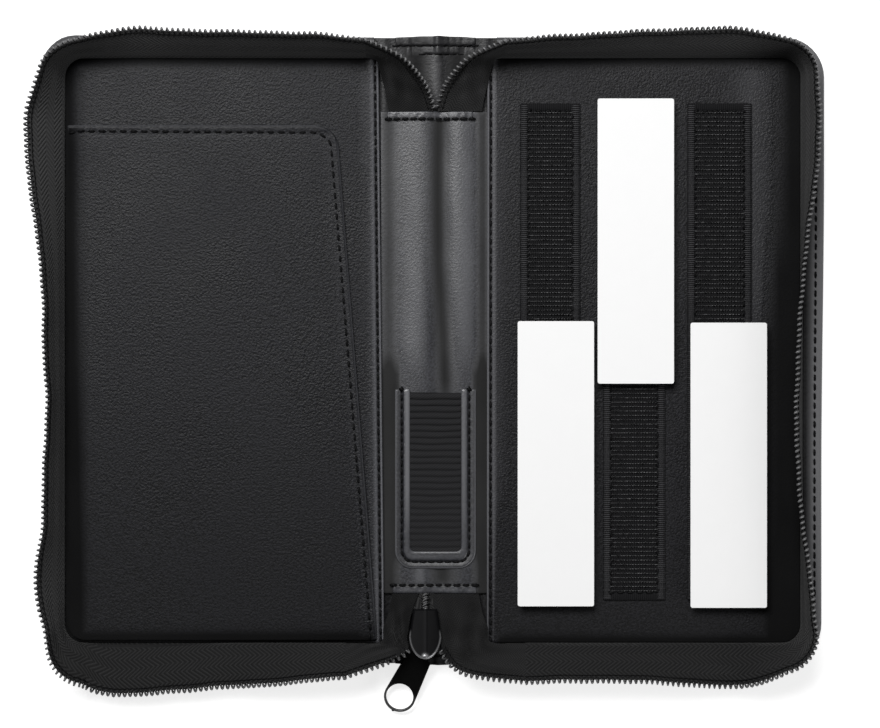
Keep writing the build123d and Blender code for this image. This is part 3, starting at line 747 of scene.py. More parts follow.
# %% Lofts
def lofted(name, rows, finish, flip=False, sharp=40.0, worn=None):
    """One closed skin over rows of points, each row a ring. flip turns its faces round."""
    columns = len(rows[0])
    points = [point for row in rows for point in row]
    faces = []
    for row in range(len(rows) - 1):
        for column in range(columns):
            a, b = row * columns + column, row * columns + (column + 1) % columns
            faces.append((a, b, b + columns, a + columns))
    faces.append(tuple(reversed(range(columns))))
    faces.append(tuple(range(len(points) - columns, len(points))))
    if flip:
        faces = [tuple(reversed(face)) for face in faces]
    place = np.array([[tuple(point) for point in row] for row in rows], float)
    steps_along = np.linalg.norm(np.diff(place[:, columns // 4], axis=0), axis=1)
    along = np.concatenate([[0], np.cumsum(steps_along)])[:, None] + np.zeros((len(rows), columns))
    across = np.zeros((len(rows), columns))
    across[:, 1:] = np.cumsum(np.linalg.norm(np.diff(place, axis=1), axis=2), axis=1)
    uv = np.column_stack([along.ravel(), across.ravel()])
    return finish_mesh(name, points, faces, finish, uv, sharp, worn)


def arc(centre_x, centre_y, radius, start, end, count=5):
    """Points on a circle between two angles in degrees."""
    angles = [math.radians(start + (end - start) * i / (count - 1)) for i in range(count)]
    return [(centre_x + radius * math.cos(a), centre_y + radius * math.sin(a)) for a in angles]


print("a quarter circle of 5 points:", len(arc(0, 0, 1, 0, 90)))

# %% [markdown]
# The outer leather is one sheet on the real case. It is wrapped round a board in each
# cover and turned in along three sides, and it bends along two folds beside the spine.
# A single mesh can't turn about two folds, so it is five pieces that meet edge to edge:
# two covers, the spine, and two fold strips between a cover and the spine.
# The turned border of a cover is one section, carried round three sides.

# %% The border's section
LEATHER = 1.0
BORDER_TOP = 3.6
BOARD_TOP = 2.6
RIM_INSET = 6.6
EDGE_RADIUS = 1.7
BORDER_SEAM_IN = 2.6


def rim_profile():
    """The turned border in section: outward from the rim's inner line, and height."""
    out = RIM_INSET
    section = [(0.0, LEATHER), (out - LEATHER, LEATHER), (out - LEATHER, BOARD_TOP), (0.0, BOARD_TOP),
               (0.0, BORDER_TOP - 0.25), (0.3, BORDER_TOP - 0.05)]
    groove = ((6.0, 0.0), (4.4, 0.0), (3.2, 0.02), (2.85, 0.14), (BORDER_SEAM_IN, 0.2), (2.35, 0.14),
              (2.0, 0.0))
    section += [(out - back, BORDER_TOP - deep) for back, deep in groove]
    section += arc(out - EDGE_RADIUS, BORDER_TOP - EDGE_RADIUS, EDGE_RADIUS, 75, 0, 6)
    section += arc(out - EDGE_RADIUS, EDGE_RADIUS, EDGE_RADIUS, 0, -90, 6)
    section += [(out - 2.3, 0.06), (out - BORDER_SEAM_IN, 0.16), (out - 2.9, 0.06), (out - 3.3, 0.0),
                (0.0, 0.0)]
    return section


print("the border's section has", len(rim_profile()), "points")

# %% [markdown]
# The case is used, so it isn't quite square any more. The zipper pulls the left cover's
# top corner outwards and the right cover's long side a little. On the left cover the seam
# of the tape lies nearer to the edge than on the right one.

# %% How use has pulled the covers
FRONT_SET_OUT = 1.75


def pulled_corner(place, side):
    """How far the tape pulls a cover's edge at a place."""
    near = ease(abs(place.x), 108.0, 122.0)
    if side > 0:
        return Vector((0.9, 0, 0)) * near * ease(place.y, -40.0, 60.0)
    return Vector((-3.4, 1.2, 0)) * near * ease(place.y, 64.0, 90.0)


def set_out(place, side):
    """How much nearer to the edge the front cover's seam lies."""
    return Vector((-FRONT_SET_OUT * ease(abs(place.x), 100.0, 115.0) * (side < 0), 0, 0))


print("the left top corner is pulled by", round(pulled_corner(Vector((-129, 104, 0)), -1).length, 1), "mm")

# %% [markdown]
# The shell joins the border's sections round three sides and closes the flat back and the
# fold's side with large faces. The border's colour has painted light along the long sides,
# and painted shade beside the leaning tape.

# %% Outer leather of the covers
FOLD_STRIP_IN = 13.5
FOLD_STRIP_OUT = 20.5


def border_wear_and_painted_light(x, section):
    """Numbers for one row of the border: a little wear at the rim, painted shade beside the tape, painted
    light further out.
    """
    pale_side = ease(x, 112.0, 118.0)
    worn = []
    for out, z in section:
        edge = 0.2 * math.exp(-((out - RIM_INSET) / 0.8) ** 2)
        # Painted shade beside the tape, and painted light on the border's top further out.
        shade = (0.9 - 0.75 * pale_side) * math.exp(-(out / 1.8) ** 2)
        lit = (0.28 + 0.72 * pale_side) * (z > BOARD_TOP) * ease(out, 2.2 - pale_side, 4.4 - pale_side)
        worn.append(edge - shade + lit)
    return worn


def cover_shell(name, side):
    """A cover's outer leather: a flat back, a round edge and a turned border."""
    section = rim_profile()
    path = cover_path(side, RIM_INSET, FOLD_STRIP_OUT, FOLD_STRIP_OUT)
    points, worn = [], []
    for spot, way in path:
        for out, z in section:
            pull = pulled_corner(spot + way * out, side) * (out / RIM_INSET)
            points.append(spot + way * out + pull + set_out(spot, side) * (1 - out / RIM_INSET)
                          + Vector((0, 0, z)))
        worn += border_wear_and_painted_light(spot.x, section)
    columns = len(section)
    faces = []
    for row in range(len(path) - 1):
        for column in range(columns - 1):
            a = row * columns + column
            faces.append((a, a + 1, a + 1 + columns, a + columns))
    last = (len(path) - 1) * columns
    faces.append(tuple(reversed(range(columns))))
    faces.append(tuple(range(last, last + columns)))
    faces.append(tuple(row * columns for row in range(len(path))))
    faces.append(tuple(row * columns + columns - 1 for row in reversed(range(len(path)))))
    faces.append((0, last, last + columns - 1, columns - 1))
    if side > 0:
        faces = [tuple(reversed(face)) for face in faces]
    return finish_mesh(name, points, faces, cover_leather, sharp=50, worn=worn)


for cover, side in sides.items():
    shell = cover_shell(f"{cover}_outer_leather", side)
    hand_over(shell, cover, "cover_leather", f"{cover}_skin")
    repaint(f"{cover}_board", grey_board)

# %% Fold strips
FOLD_DIVISIONS = 22
FOLD_EDGE = 0.35


def fold_strip(name, side):
    """The outer leather between the spine and a cover, flat at rest."""
    rows = []
    for index in range(FOLD_DIVISIONS + 1):
        share = index / FOLD_DIVISIONS
        x = side * (FOLD_STRIP_IN + (FOLD_STRIP_OUT - FOLD_STRIP_IN) * share)
        ripple = 0.10 * math.cos(2 * math.pi * share * 2)
        inner = LEATHER + 0.12 * (1 - math.cos(2 * math.pi * share)) + 0.4 * ripple
        far = HALF_Y - FOLD_EDGE
        section = [(-HALF_Y, FOLD_EDGE), (-far, 0), (far, 0), (HALF_Y, FOLD_EDGE),
                   (HALF_Y, LEATHER - FOLD_EDGE), (far, inner), (-far, inner),
                   (-HALF_Y, LEATHER - FOLD_EDGE)]
        rows.append([Vector((x, y, z)) for y, z in section])
    return lofted(name, rows, cover_leather, flip=side > 0)


for cover, side in sides.items():
    strip = fold_strip(f"{cover}_fold_leather", side)
    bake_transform(strip)
print("fold strips:", FOLD_STRIP_OUT - FOLD_STRIP_IN, "mm wide")

# %% [markdown]
# Between the folds the leather isn't flat. Rises and a valley run along the spine, and at
# its top end they turn into one ridge. The same waves lift the inner strip and the hems,
# so they are one function that all of them use.

# %% The spine's waves and its outer leather
SPINE_EDGE = 0.35


def spine_waves(x, y):
    """A long rise, a steep valley and a second rise across the spine; one ridge at its top end."""
    depth = np.interp(y, [-105, -30, 20, 75, 105], [0.4, 0.6, 0.95, 1.0, 0.9])
    wander = 0.7 * np.sin(y / 31.0)
    inner = (0.85 * dip(x, -4.6 + wander, 5.4) - 0.85 * dip(x, 1.5 + wander, 2.3) + 0.70 * dip(x, 8.4, 4.2)
             + 0.05 * np.sin(y / 4.3 + x / 2.1))
    ridge = 1.1 * dip(x, 0.3, 2.2) - 0.5 * dip(x, -6.0, 3.0) - 0.4 * dip(x, 6.5, 3.0)
    at_top = np.clip((y - 80.0) / 5.0, 0, 1)
    return depth * inner * (1 - at_top) + ridge * at_top


def flap_painted_light(x, y, d):
    """A painted highlight on the ridge at the top end and painted shade on both sides of it; the rest is
    painted darker.
    """
    at_top = np.clip((y - 78.0) / 5.0, 0, 1)
    ridge = 0.30 * dip(x, 0.3, 1.9) - 0.75 * dip(x, -6.6, 3.2) - 0.75 * dip(x, 7.2, 3.2)
    return at_top * ridge - 0.5 * (1 - at_top)


def waves_between_folds(x, y):
    """The waves at a bit less than half height, faded out towards the fold strips."""
    return 0.45 * spine_waves(x, y) * np.clip((FOLD_STRIP_IN - abs(x)) / 2.5, 0, 1)


def spine_inner_face(x, y, d):
    """The spine's inner face, rolled off at both ends only."""
    to_end = HALF_Y - abs(y)
    rolled_off = roll(np.minimum(d, to_end), SPINE_EDGE) * (to_end < 0.4)
    return LEATHER + 0.05 - rolled_off + waves_between_folds(x, y)


def spine_outer_face(x, y, d):
    """The face on the table: flat, with rolled ends."""
    return roll(HALF_Y - abs(y), SPINE_EDGE)


spine_outline = box_corners(-FOLD_STRIP_IN, FOLD_STRIP_IN, -HALF_Y, HALF_Y)
spine_outer = panel("spine_outer_leather", dense(spine_outline, 3.0), spine_inner_face, spine_outer_face,
                    [0.12, SPINE_EDGE], 1.0, cover_leather, paint_wear_and_light=flap_painted_light)
hand_over(spine_outer, "spine", "cover_leather", "spine_skin")

# %% [markdown]
# At both ends of the spine the outer leather is turned in and stitched. The turned hem
# is narrow, and it puckers a little where it passes the fold of the zipper ends.

# %% The form of the turned hems
HEM_LINES = ((101.75, -13.2, 13.2), (98.9, -4.4, 8.6))
OUTER_HEM_Y, INNER_HEM_Y = HEM_LINES[0][0], HEM_LINES[1][0]


def wrinkled(x, y):
    """Short creases across a hem."""
    return (0.12 * np.sin(x * 1.05 + 0.6) * np.sin(x * 0.37 + 1.9) - 0.22 * dip(x + 0.15 * y, 7.6, 0.9)
            - 0.26 * dip(x - 0.1 * y, -1.2, 0.8) - 0.20 * dip(x, -0.8, 0.7) + 0.16 * dip(x, 0.9, 0.9)
            - 0.16 * dip(x + 0.06 * y, 10.9, 0.6))


def flap_hem(x, y, d, end):
    """Two turned layers, each a step down towards the spine, with creases across both."""
    reach = end * y
    fade = np.clip((x + 4.6) / 1.6, 0, 1) * np.clip((8.8 - x) / 1.6, 0, 1)
    outer = np.clip((reach - OUTER_HEM_Y) / 0.5, 0, 1)
    inner = np.clip((reach - INNER_HEM_Y) / 0.5, 0, 1) * fade
    step = 0.35 * inner * (1 - outer) + 0.65 * outer
    groove = 0.16 * dip(reach, OUTER_HEM_Y + 0.2, 0.35) + 0.14 * dip(reach, INNER_HEM_Y + 0.2, 0.3) * fade
    crease = 1.3 * wrinkled(x, end * y) * np.clip((reach - 97.0) / 3.0, 0, 1)
    base = LEATHER + 0.06 + waves_between_folds(x, y)
    return base + step - groove + crease - 0.5 * roll(d, 0.5)


def hem_painted_light(x, y, d):
    """Like the spine's end, but weaker outside the inner hem, with a painted highlight line on each layer."""
    reach = abs(y)
    faded = flap_painted_light(x, reach, d) * (0.9 - 0.7 * np.clip((reach - 98.5) / 2, 0, 1))
    return faded + 0.12 * dip(reach, 100.4, 0.9) + 0.10 * dip(reach, 103.6, 1.0)


print("hem lines at", OUTER_HEM_Y, "and", INNER_HEM_Y, "mm from the middle")

# %% [markdown]
# The outline of a hem bulges a little at the spine's end. Extra points beside both hem
# lines let the steps and the grooves come out crisp.

# %% Turned hems at the spine's ends
HEM_HALF, HEM_START, HEM_CORNER_Y, HEM_END = 13.4, 96.2, 104.7, 105.2
HEM_DETAIL_Y = (98.5, 98.75, 98.95, 99.2, 99.5, 101.3, 101.6, 101.8, 102.0, 102.3)


def hem_outline(end):
    """A hem seen from above, anticlockwise at either end of the spine."""
    bulge = [(x, HEM_END + 0.04 * math.sin(x * 0.9) - (x / 13) ** 2 * 0.5)
             for x in np.arange(12.6, -12.7, -0.9)]
    corners = [(-HEM_HALF, HEM_START), (HEM_HALF, HEM_START), (HEM_HALF, HEM_CORNER_Y)] + bulge
    corners.append((-HEM_HALF, HEM_CORNER_Y))
    placed = [(x, end * y) for x, y in corners]
    return placed if end > 0 else placed[::-1]


for end, end_name in ((1, "top"), (-1, "bottom")):
    detail = [(x, end * y) for x in np.arange(-13.0, 13.1, 0.45) for y in HEM_DETAIL_Y]
    hem = panel(f"spine_{end_name}_hem", dense(hem_outline(end), 0.9),
                lambda x, y, d, end=end: flap_hem(x, y, d, end), level_at(0.9),
                [0.1, 0.3, 0.6], 0.6, cover_leather, detail=detail, paint_wear_and_light=hem_painted_light)
    hand_over(hem, "spine", "cover_leather")

# %% [markdown]
# The inner spine is a satin strip over thin foam. It isn't flat: a soft valley runs
# along it with a round ridge on either side, and that catches the light; painted highlights
# on the ridges and painted shade in the valley add to it. It is made as one padded panel,
# and its hems at both ends are bands of their own.

# %% Inner spine strip
STRIP_TOP = 2.5
STRIP_Y = (-81.2, 79.9)
STRIP_REACH = 18.5


def strip_height(x, y, d):
    """The strip's top: waves that fade out under the folds and round the pen pocket."""
    calm = np.clip((FOLD_X - abs(x)) / 4.0, 0, 1) * (1 - 0.75 * dip(y, -42.0, 24.0) * (abs(x) < 14))
    return STRIP_TOP + 1.0 * spine_waves(x, y) * calm - roll(d, 0.4)


def strip_underside(x, y, d):
    """The underside, which steps up over the covers' fold strips."""
    return 1.12 + 0.3 * (abs(x) > 14)


def strip_painted_light(x, y, d):
    """Painted shade in the long valley, on the strip's sides, where they go under the covers, and beside the
    pen pocket; painted highlights on the ridges, and painted light and shade below the pocket.
    """
    centre = np.interp(y, [-20, 3, 30, 56, 80], [3.5, 2.6, 1.0, 0.7, 1.2])
    painted_shade = np.interp(y, [-30, -10, 40, 80], [0.0, 1.0, 1.0, 1.0])
    right_ridge = np.interp(y, [-8, 4, 60, 72], [0.0, 0.42, 0.42, 0.252])
    left_ridge = np.interp(y, [-8, 3, 30, 56], [0.0, 0.42, 0.18, 0.0])
    beside_pocket = np.interp(y, [-90, -72, -68, -8, 0], [0.45, 0.45, 0.7, 0.7, 0.0])
    below_pocket = np.interp(y, [-80, -76, -71, -68], [0.3, 1.0, 1.0, 0.0])
    ridges = -painted_shade * dip(x, centre, 2.7) + right_ridge * dip(x, 9.8, 3.0) + left_ridge * dip(x, -7.0, 4.0)
    sides_shade = 0.85 * dip(x, 15.7, 1.7) + 0.65 * dip(x, -15.6, 2.4) + beside_pocket * (abs(x) > 12.2)
    return ridges - sides_shade + below_pocket * (0.5 * dip(x, -5.0, 2.0) - 1.0 * dip(x, 2.4, 4.2))


strip_outline = box_corners(-STRIP_REACH, STRIP_REACH, *STRIP_Y)
strip = panel("spine_strip_leather", dense(strip_outline, 2.0), strip_height, strip_underside,
              [0.1, 0.3, 0.8], 1.1, spine_leather, paint_wear_and_light=strip_painted_light)
hand_over(strip, "spine", "spine_leather", "spine_strip", "spine_padding")

# %% [markdown]
# Each end of the strip is folded over and sewn across. Thread pulls such a band together
# at every stitch, so it puffs up between them; painted light lies on the puffs in patches,
# and painted shade along the stitches.

# %% Hems of the spine strip
STITCH_LINES = {"top": 77.3, "bottom": -78.3}
BANDS = {"top": (-16.2, 12.6, 76.7, STRIP_Y[1]), "bottom": (-14.4, 13.6, STRIP_Y[0], -77.8)}


def hem_band(end_name):
    """A turned band across the strip, puffed beside its stitches."""
    left, right, y_low, y_high = BANDS[end_name]
    stitch_y = STITCH_LINES[end_name]
    band_middle = (y_low + y_high) / 2 + 0.3 * (1 if y_low > 0 else -1)

    def top(x, y, d):
        pucker = 0.13 * np.cos(2 * math.pi * x / 2.75) * dip(y, band_middle, 1.0) * np.sin(x * 0.41 + 1.0)
        base = STRIP_TOP + 0.75 * spine_waves(x, np.minimum(y, 79.0))
        return base + 0.55 - roll(d, 0.55) + pucker - 0.12 * dip(y, stitch_y, 0.35)

    # Painted light on the puffed band in patches, and painted shade along the stitches.
    def paint_wear_and_light(x, y, d):
        patches = 0.6 + 0.4 * np.sin(x * 0.83 + 0.4) * np.sin(x * 0.31 + 2.0)
        return 0.45 * dip(y, band_middle, 0.8) * patches - 0.8 * dip(y, stitch_y, 0.5)

    outline = rounded(box_corners(left, right, y_low, y_high), [0.5] * 4, 3)
    return panel(f"spine_strip_{end_name}_hem", dense(outline, 0.9), top, level_at(1.6),
                 [0.08, 0.25, 0.55], 0.45, spine_leather, paint_wear_and_light=paint_wear_and_light)


for end_name in BANDS:
    band = hem_band(end_name)
    hand_over(band, "spine", "spine_leather")

# %% [markdown]
# The linings are leather over thin foam. The edge beside each fold is a roll with a painted
# highlight along it, and a groove for the stitches a little way in. It slants, so it has one
# place for each end. Past the stitches lies a band of painted light, and painted shade
# darkens the lining along its outer edges.

# %% Linings
LINING_INSET = 7.15
LINING_EDGE = {-1: (19.0, 17.05), 1: (17.25, 17.05)}
STITCH_IN = 1.25
LINING_FAR_Y = HALF_Y - LINING_INSET
LINING_RINGS = [0.06, 0.2, 0.45, 0.75, 1.3, 2.2, 3.4]
EDGE_DETAIL = (0.3, 0.6, 0.9, 1.1, 1.3, 1.55, 1.85, 2.2, 2.6, 3.0, 3.5, 4.1)


def lining_edge(side, y):
    """Where the lining's rolled edge is, as a distance from the middle of the spine."""
    near_top, near_bottom = LINING_EDGE[side]
    return near_bottom + (near_top - near_bottom) * (y + LINING_FAR_Y) / (2 * LINING_FAR_Y)


def seam_painted_light(side, x, y, beside):
    """Painted light on the band past the stitches, with painted shade just before them. On the right cover
    the far side has some painted light too, and its lower part painted shade.
    """
    band = 0.38 * dip(beside, 2.15, 0.62) + 0.08 * dip(beside, 3.6, 1.6) - 0.2 * dip(beside, 1.0, 0.35)
    if side > 0:
        band += (0.13 * dip(x, 105.5, 5.5) * np.clip((y + 20) / 40, 0, 1)
                 - 0.3 * np.clip((-y - 50) / 40, 0, 1))
    return band


def lining_panel(name, side, finish):
    """The padded panel inside a cover, square at the fold and rounded outside."""
    near_top, near_bottom = LINING_EDGE[side]
    far_x = END_X - LINING_INSET + FRONT_SET_OUT * (side < 0)
    corners = [(near_bottom, -LINING_FAR_Y), (far_x, -LINING_FAR_Y), (far_x, LINING_FAR_Y),
               (near_top, LINING_FAR_Y)]
    outline = rounded(corners, [0.6, 6.0, 6.0, 0.6], 6)
    if side < 0:
        outline = [(-x, y) for x, y in outline[::-1]]

    def top(x, y, d):
        beside = abs(x) - lining_edge(side, y)
        pucker = 0.05 * np.cos(2 * math.pi * y / 3.0) * dip(beside, STITCH_IN, 0.8)
        slow = 0.10 * np.sin(x / 23.0 + 1.2) * np.sin(y / 31.0 + 0.4)
        outside = dip(d, 0, 2.2) * (beside > 6)
        return (LINING_TOP + 0.22 * dip(beside, 0.4, 0.4) - 0.20 * dip(beside, STITCH_IN, 0.4)
                + 0.24 * dip(beside, 2.3, 0.9) + pucker + slow - 0.5 * outside - roll(d, 0.7))

    # A painted highlight on the roll at the fold edge, painted light by the seam, and painted shade along the
    # outer edges.
    def paint_wear_and_light(x, y, d):
        beside = abs(x) - lining_edge(side, y)
        shaded = np.interp(y, [-90, 0, 50, 90], [9.0, 9.0, 4.4, 3.4]) if side > 0 else 1.2
        far_side = 0.95 * dip(np.maximum(far_x - abs(x) - shaded, 0), 0, 2.9)
        return (1.0 * dip(beside, 0.33, 0.34) + seam_painted_light(side, x, y, beside)
                - np.maximum(dip(d, 0, 2.4), far_side) * (beside > 4))

    detail = [(side * (lining_edge(side, y) + step), y)
              for y in np.arange(1 - LINING_FAR_Y, LINING_FAR_Y - 1, 0.75) for step in EDGE_DETAIL]
    return panel(name, dense(outline, 2.0), top, level_at(BOARD_TOP + 0.02), LINING_RINGS, 3.0, finish,
                 detail=detail, paint_wear_and_light=paint_wear_and_light)


for cover, side in sides.items():
    lining = lining_panel(f"{cover}_lining_panel", side, lining_leather if side < 0 else right_lining)
    hand_over(lining, cover, "lining_leather", f"{cover}_lining", f"{cover}_foam")

# %% [markdown]
# The document pocket is one more leather panel, sewn down along its outer side and foot.
# Its top and its slanted side are free: turned edges, thicker than the rest, with a row
# of stitches 2.5 mm in and a thin gap of shadow below.

# %% Document pocket
POCKET_TOP = 5.35
POCKET_UNDER = 4.45
POCKET_LEFT = -122.65
POCKET_FOOT_RIGHT, POCKET_HEAD_RIGHT = -19.4, -32.8
POCKET_FOOT_Y, POCKET_HEAD_Y = -96.6, 75.0
POCKET_HIGH = 171.6
POCKET_STITCH_IN = 2.5
FREE_EDGE_DETAIL = (0.9, 1.3, 1.7, 2.0, 2.25, 2.5, 2.75, 3.0, 3.4, 4.0)


def pocket_open_edge(x, y):
    """Distance in from the pocket's two free edges."""
    slant = Vector((POCKET_HEAD_RIGHT - POCKET_FOOT_RIGHT, POCKET_HEAD_Y - POCKET_FOOT_Y)).normalized()
    from_slant = (POCKET_FOOT_RIGHT - x) * slant.y + (y - POCKET_FOOT_Y) * slant.x
    return np.minimum(POCKET_HEAD_Y - y, from_slant)


def pocket_sewn_edge(x, y):
    """Distance in from the pocket's two sewn edges."""
    return np.minimum(x - POCKET_LEFT, y - POCKET_FOOT_Y)


def pocket_top(x, y, d):
    """The panel's top, with its rolled free edges and stitch groove."""
    free = pocket_open_edge(x, y)
    pucker = 0.05 * np.cos(2 * math.pi * (x + y) / 3.0) * dip(free, POCKET_STITCH_IN, 0.8)
    slow = 0.16 * np.sin(x / 19.0 + 0.5) * np.sin(y / 27.0 + 0.9)
    return (POCKET_TOP + 0.25 * dip(free, 1.1, 1.0) - 0.20 * dip(free, POCKET_STITCH_IN, 0.42) + pucker + slow
            - 0.6 * (1 - np.clip(pocket_sewn_edge(x, y) / 5.0, 0, 1)) ** 2 - roll(d, 0.55))


def pocket_bottom(x, y, d):
    """The underside: on the lining where it is sewn, a little above it elsewhere."""
    return np.where(pocket_sewn_edge(x, y) < 3.0, LINING_TOP + 0.02, POCKET_UNDER)


def pocket_painted_light(x, y, d):
    """A painted highlight along the free edges, painted shade along the two sewn sides, and the middle
    painted darker towards the bottom.
    """
    free = pocket_open_edge(x, y)
    shaded = np.interp(y, [-90, -20, 30, 90], [3.0, 2.8, 1.4, 0.8])
    sewn = np.clip(np.minimum(x - POCKET_LEFT - shaded, y + 96.4), 0, 9)
    rubbed_and_lit = 0.35 * dip(free, 0.0, 0.35) + 0.05 * dip(free, 1.3, 0.5) + 0.04 * dip(free, 3.9, 0.9)
    return rubbed_and_lit - 1.0 * dip(sewn, 0, 2.8) * (free > 1) - 0.3 * np.clip((-y - 10) / 70, 0, 1) * (free > 5)


def slanted_edge(y):
    """Where the pocket's slanted side is at some height up the pocket."""
    lean = POCKET_FOOT_RIGHT - POCKET_HEAD_RIGHT
    return POCKET_FOOT_RIGHT - lean * (y - POCKET_FOOT_Y) / POCKET_HIGH


pocket_corners = [(POCKET_LEFT, POCKET_FOOT_Y), (POCKET_FOOT_RIGHT, POCKET_FOOT_Y),
                  (POCKET_HEAD_RIGHT, POCKET_HEAD_Y), (POCKET_LEFT, POCKET_HEAD_Y)]
pocket_outline = rounded(pocket_corners, [6.0, 0.8, 8.0, 0.6], 8)
pocket_detail = [(x, POCKET_HEAD_Y - step) for x in np.arange(-121.8, -40, 0.75) for step in FREE_EDGE_DETAIL]
pocket_detail += [(slanted_edge(y) - step, y) for y in np.arange(-95, 66, 0.75) for step in FREE_EDGE_DETAIL]
pocket = panel("document_pocket_panel", dense(pocket_outline, 2.0), pocket_top, pocket_bottom,
               [0.06, 0.2, 0.4, 0.65, 1.2, 2.2, 3.4], 3.0, lining_leather, detail=pocket_detail,
               paint_wear_and_light=pocket_painted_light)
hand_over(pocket, "front_cover", "lining_leather", "document_pocket")

# %% [markdown]
# Stitches, coil teeth, hooks and selvedge threads are all a small unit repeated along a
# line. One Geometry Nodes tree does that. The line is a bare mesh that carries the way up
# as an attribute; the tree turns it into a curve and sets a unit at each step.

# %% A tree that repeats a unit along lines
RANDOM_SEED = 7
TREE_INPUTS = {"Lines": "NodeSocketGeometry", "Unit": "NodeSocketObject", "Finish": "NodeSocketMaterial",
               "Spacing": "NodeSocketFloat", "Unevenness": "NodeSocketFloat"}


def repeat_tree():
    """Builds the tree: lines in, one realised mesh with its finish out."""
    tree = bpy.data.node_groups.new("repeat_along_lines", "GeometryNodeTree")
    for name, kind in TREE_INPUTS.items():
        tree.interface.new_socket(name, in_out="INPUT", socket_type=kind)
    tree.interface.new_socket("Result", in_out="OUTPUT", socket_type="NodeSocketGeometry")
    given = add_node(tree, "NodeGroupInput").outputs
    curve = add_node(tree, "GeometryNodeMeshToCurve", Mesh=given["Lines"])
    spaced = add_node(tree, "GeometryNodeResampleCurve", mode="LENGTH", Curve=curve.outputs["Curve"],
                      Length=given["Spacing"])
    tangent = add_node(tree, "GeometryNodeInputTangent")
    up = add_node(tree, "GeometryNodeInputNamedAttribute", data_type="FLOAT_VECTOR", Name="up")
    along = add_node(tree, "FunctionNodeAlignRotationToVector", axis="X", Vector=tangent.outputs[0])
    upright = add_node(tree, "FunctionNodeAlignRotationToVector", axis="Z", pivot_axis="X",
                       Rotation=along.outputs[0], Vector=up.outputs["Attribute"])
    unit = add_node(tree, "GeometryNodeObjectInfo", Object=given["Unit"])
    chance = add_node(tree, "FunctionNodeRandomValue", Seed=RANDOM_SEED)
    for operation, limit in (("SUBTRACT", chance.inputs[2]), ("ADD", chance.inputs[3])):
        size = add_node(tree, "ShaderNodeMath", operation=operation)
        size.inputs[0].default_value = 1.0
        tree.links.new(given["Unevenness"], size.inputs[1])
        tree.links.new(size.outputs[0], limit)
    placed = add_node(tree, "GeometryNodeInstanceOnPoints", Points=spaced.outputs["Curve"],
                      Instance=unit.outputs["Geometry"], Rotation=upright.outputs[0], Scale=chance.outputs[1])
    real = add_node(tree, "GeometryNodeRealizeInstances", Geometry=placed.outputs[0])
    painted = add_node(tree, "GeometryNodeSetMaterial", Geometry=real.outputs[0], Material=given["Finish"])
    add_node(tree, "NodeGroupOutput", Result=painted.outputs[0])
    return tree


repeater = repeat_tree()
sockets = {item.name: item.identifier for item in repeater.interface.items_tree if item.in_out == "INPUT"}
print("inputs of the tree:", ", ".join(sockets))

# %% [markdown]
# The tree is run once for each row. Its inputs are set by the sockets' identifiers, the
# result is turned into a plain mesh, and the helpers with their modifier are deleted.

# %% Running the tree
def repeated(name, lines, unit_mesh, spacing, finish, unevenness=0.04):
    """Sets units along lines of (place in mm, way up) and returns one plain mesh object."""
    places = [tuple(point * MM) for line in lines for point, _ in line]
    ups = [tuple(way) for line in lines for _, way in line]
    edges, first = [], 0
    for line in lines:
        edges += [(first + i, first + i + 1) for i in range(len(line) - 1)]
        first += len(line)
    guide = bpy.data.meshes.new(name + "_line")
    guide.from_pydata(places, edges, [])
    attribute = guide.attributes.new("up", "FLOAT_VECTOR", "POINT")
    attribute.data.foreach_set("vector", np.array(ups, np.float32).ravel())
    carrier = add_object(name + "_line", guide)
    unit = add_object(name + "_unit", unit_mesh)
    setting = carrier.modifiers.new("repeat", "NODES")
    setting.node_group = repeater
    setting[sockets["Unit"]] = unit
    setting[sockets["Finish"]] = finish
    setting[sockets["Spacing"]] = spacing * MM
    setting[sockets["Unevenness"]] = unevenness
    bpy.context.view_layer.update()
    seen = carrier.evaluated_get(bpy.context.evaluated_depsgraph_get())
    mesh = bpy.data.meshes.new_from_object(seen)
    mesh.name = name
    mesh.shade_smooth()
    for helper in (carrier, unit):
        bpy.data.objects.remove(helper)
    return add_object(name, mesh)


print("seed of the tree:", RANDOM_SEED)

# %% [markdown]
# The unit to repeat is nearly always a bent bit of wire or thread: a closed tube through a
# few places, with a radius at each. A stitch is the simplest one. It is bowed, and it
# dives into the leather at both ends.

# %% Units: tubes and stitches
def tube_unit(name, spine, radii, around=6, worn=None):
    """A small closed tube through a few places, as a unit to repeat. Its number for wear and painted light is
    given ring by ring.
    """
    places = [Vector(place) for place in spine]
    points, faces = [], []
    for index, (place, radius) in enumerate(zip(places, radii)):
        way = (places[min(index + 1, len(places) - 1)] - places[max(index - 1, 0)]).normalized()
        flat = Vector((0, 1, 0)) if abs(way.x) > 0.9 else Vector((1, 0, 0))
        second = way.cross(flat).normalized()
        first = second.cross(way)
        for step in range(around):
            angle = 2 * math.pi * (step + 0.5) / around
            points.append(place + (first * math.cos(angle) + second * math.sin(angle)) * radius)
    for ring in range(len(places) - 1):
        for step in range(around):
            a, b = ring * around + step, ring * around + (step + 1) % around
            faces.append((a, b, b + around, a + around))
    faces.append(tuple(reversed(range(around))))
    faces.append(tuple(range(len(points) - around, len(points))))
    mesh = bpy.data.meshes.new(name)
    mesh.from_pydata([tuple(point * MM) for point in points], [], faces)
    mesh.validate()
    if worn is not None:
        set_wear_and_painted_light(mesh, np.repeat(worn, around))
    return mesh


def stitch_unit(length, width):
    """One stitch: a short bowed length of thread that dives in at both ends."""
    half = length / 2
    spine = [(-half, 0, -0.22), (-half * 0.7, 0, 0.05), (0, 0, 0.14), (half * 0.7, 0, 0.05), (half, 0, -0.22)]
    return tube_unit("stitch", spine, [width * 0.28, width * 0.5, width * 0.54, width * 0.5, width * 0.28])


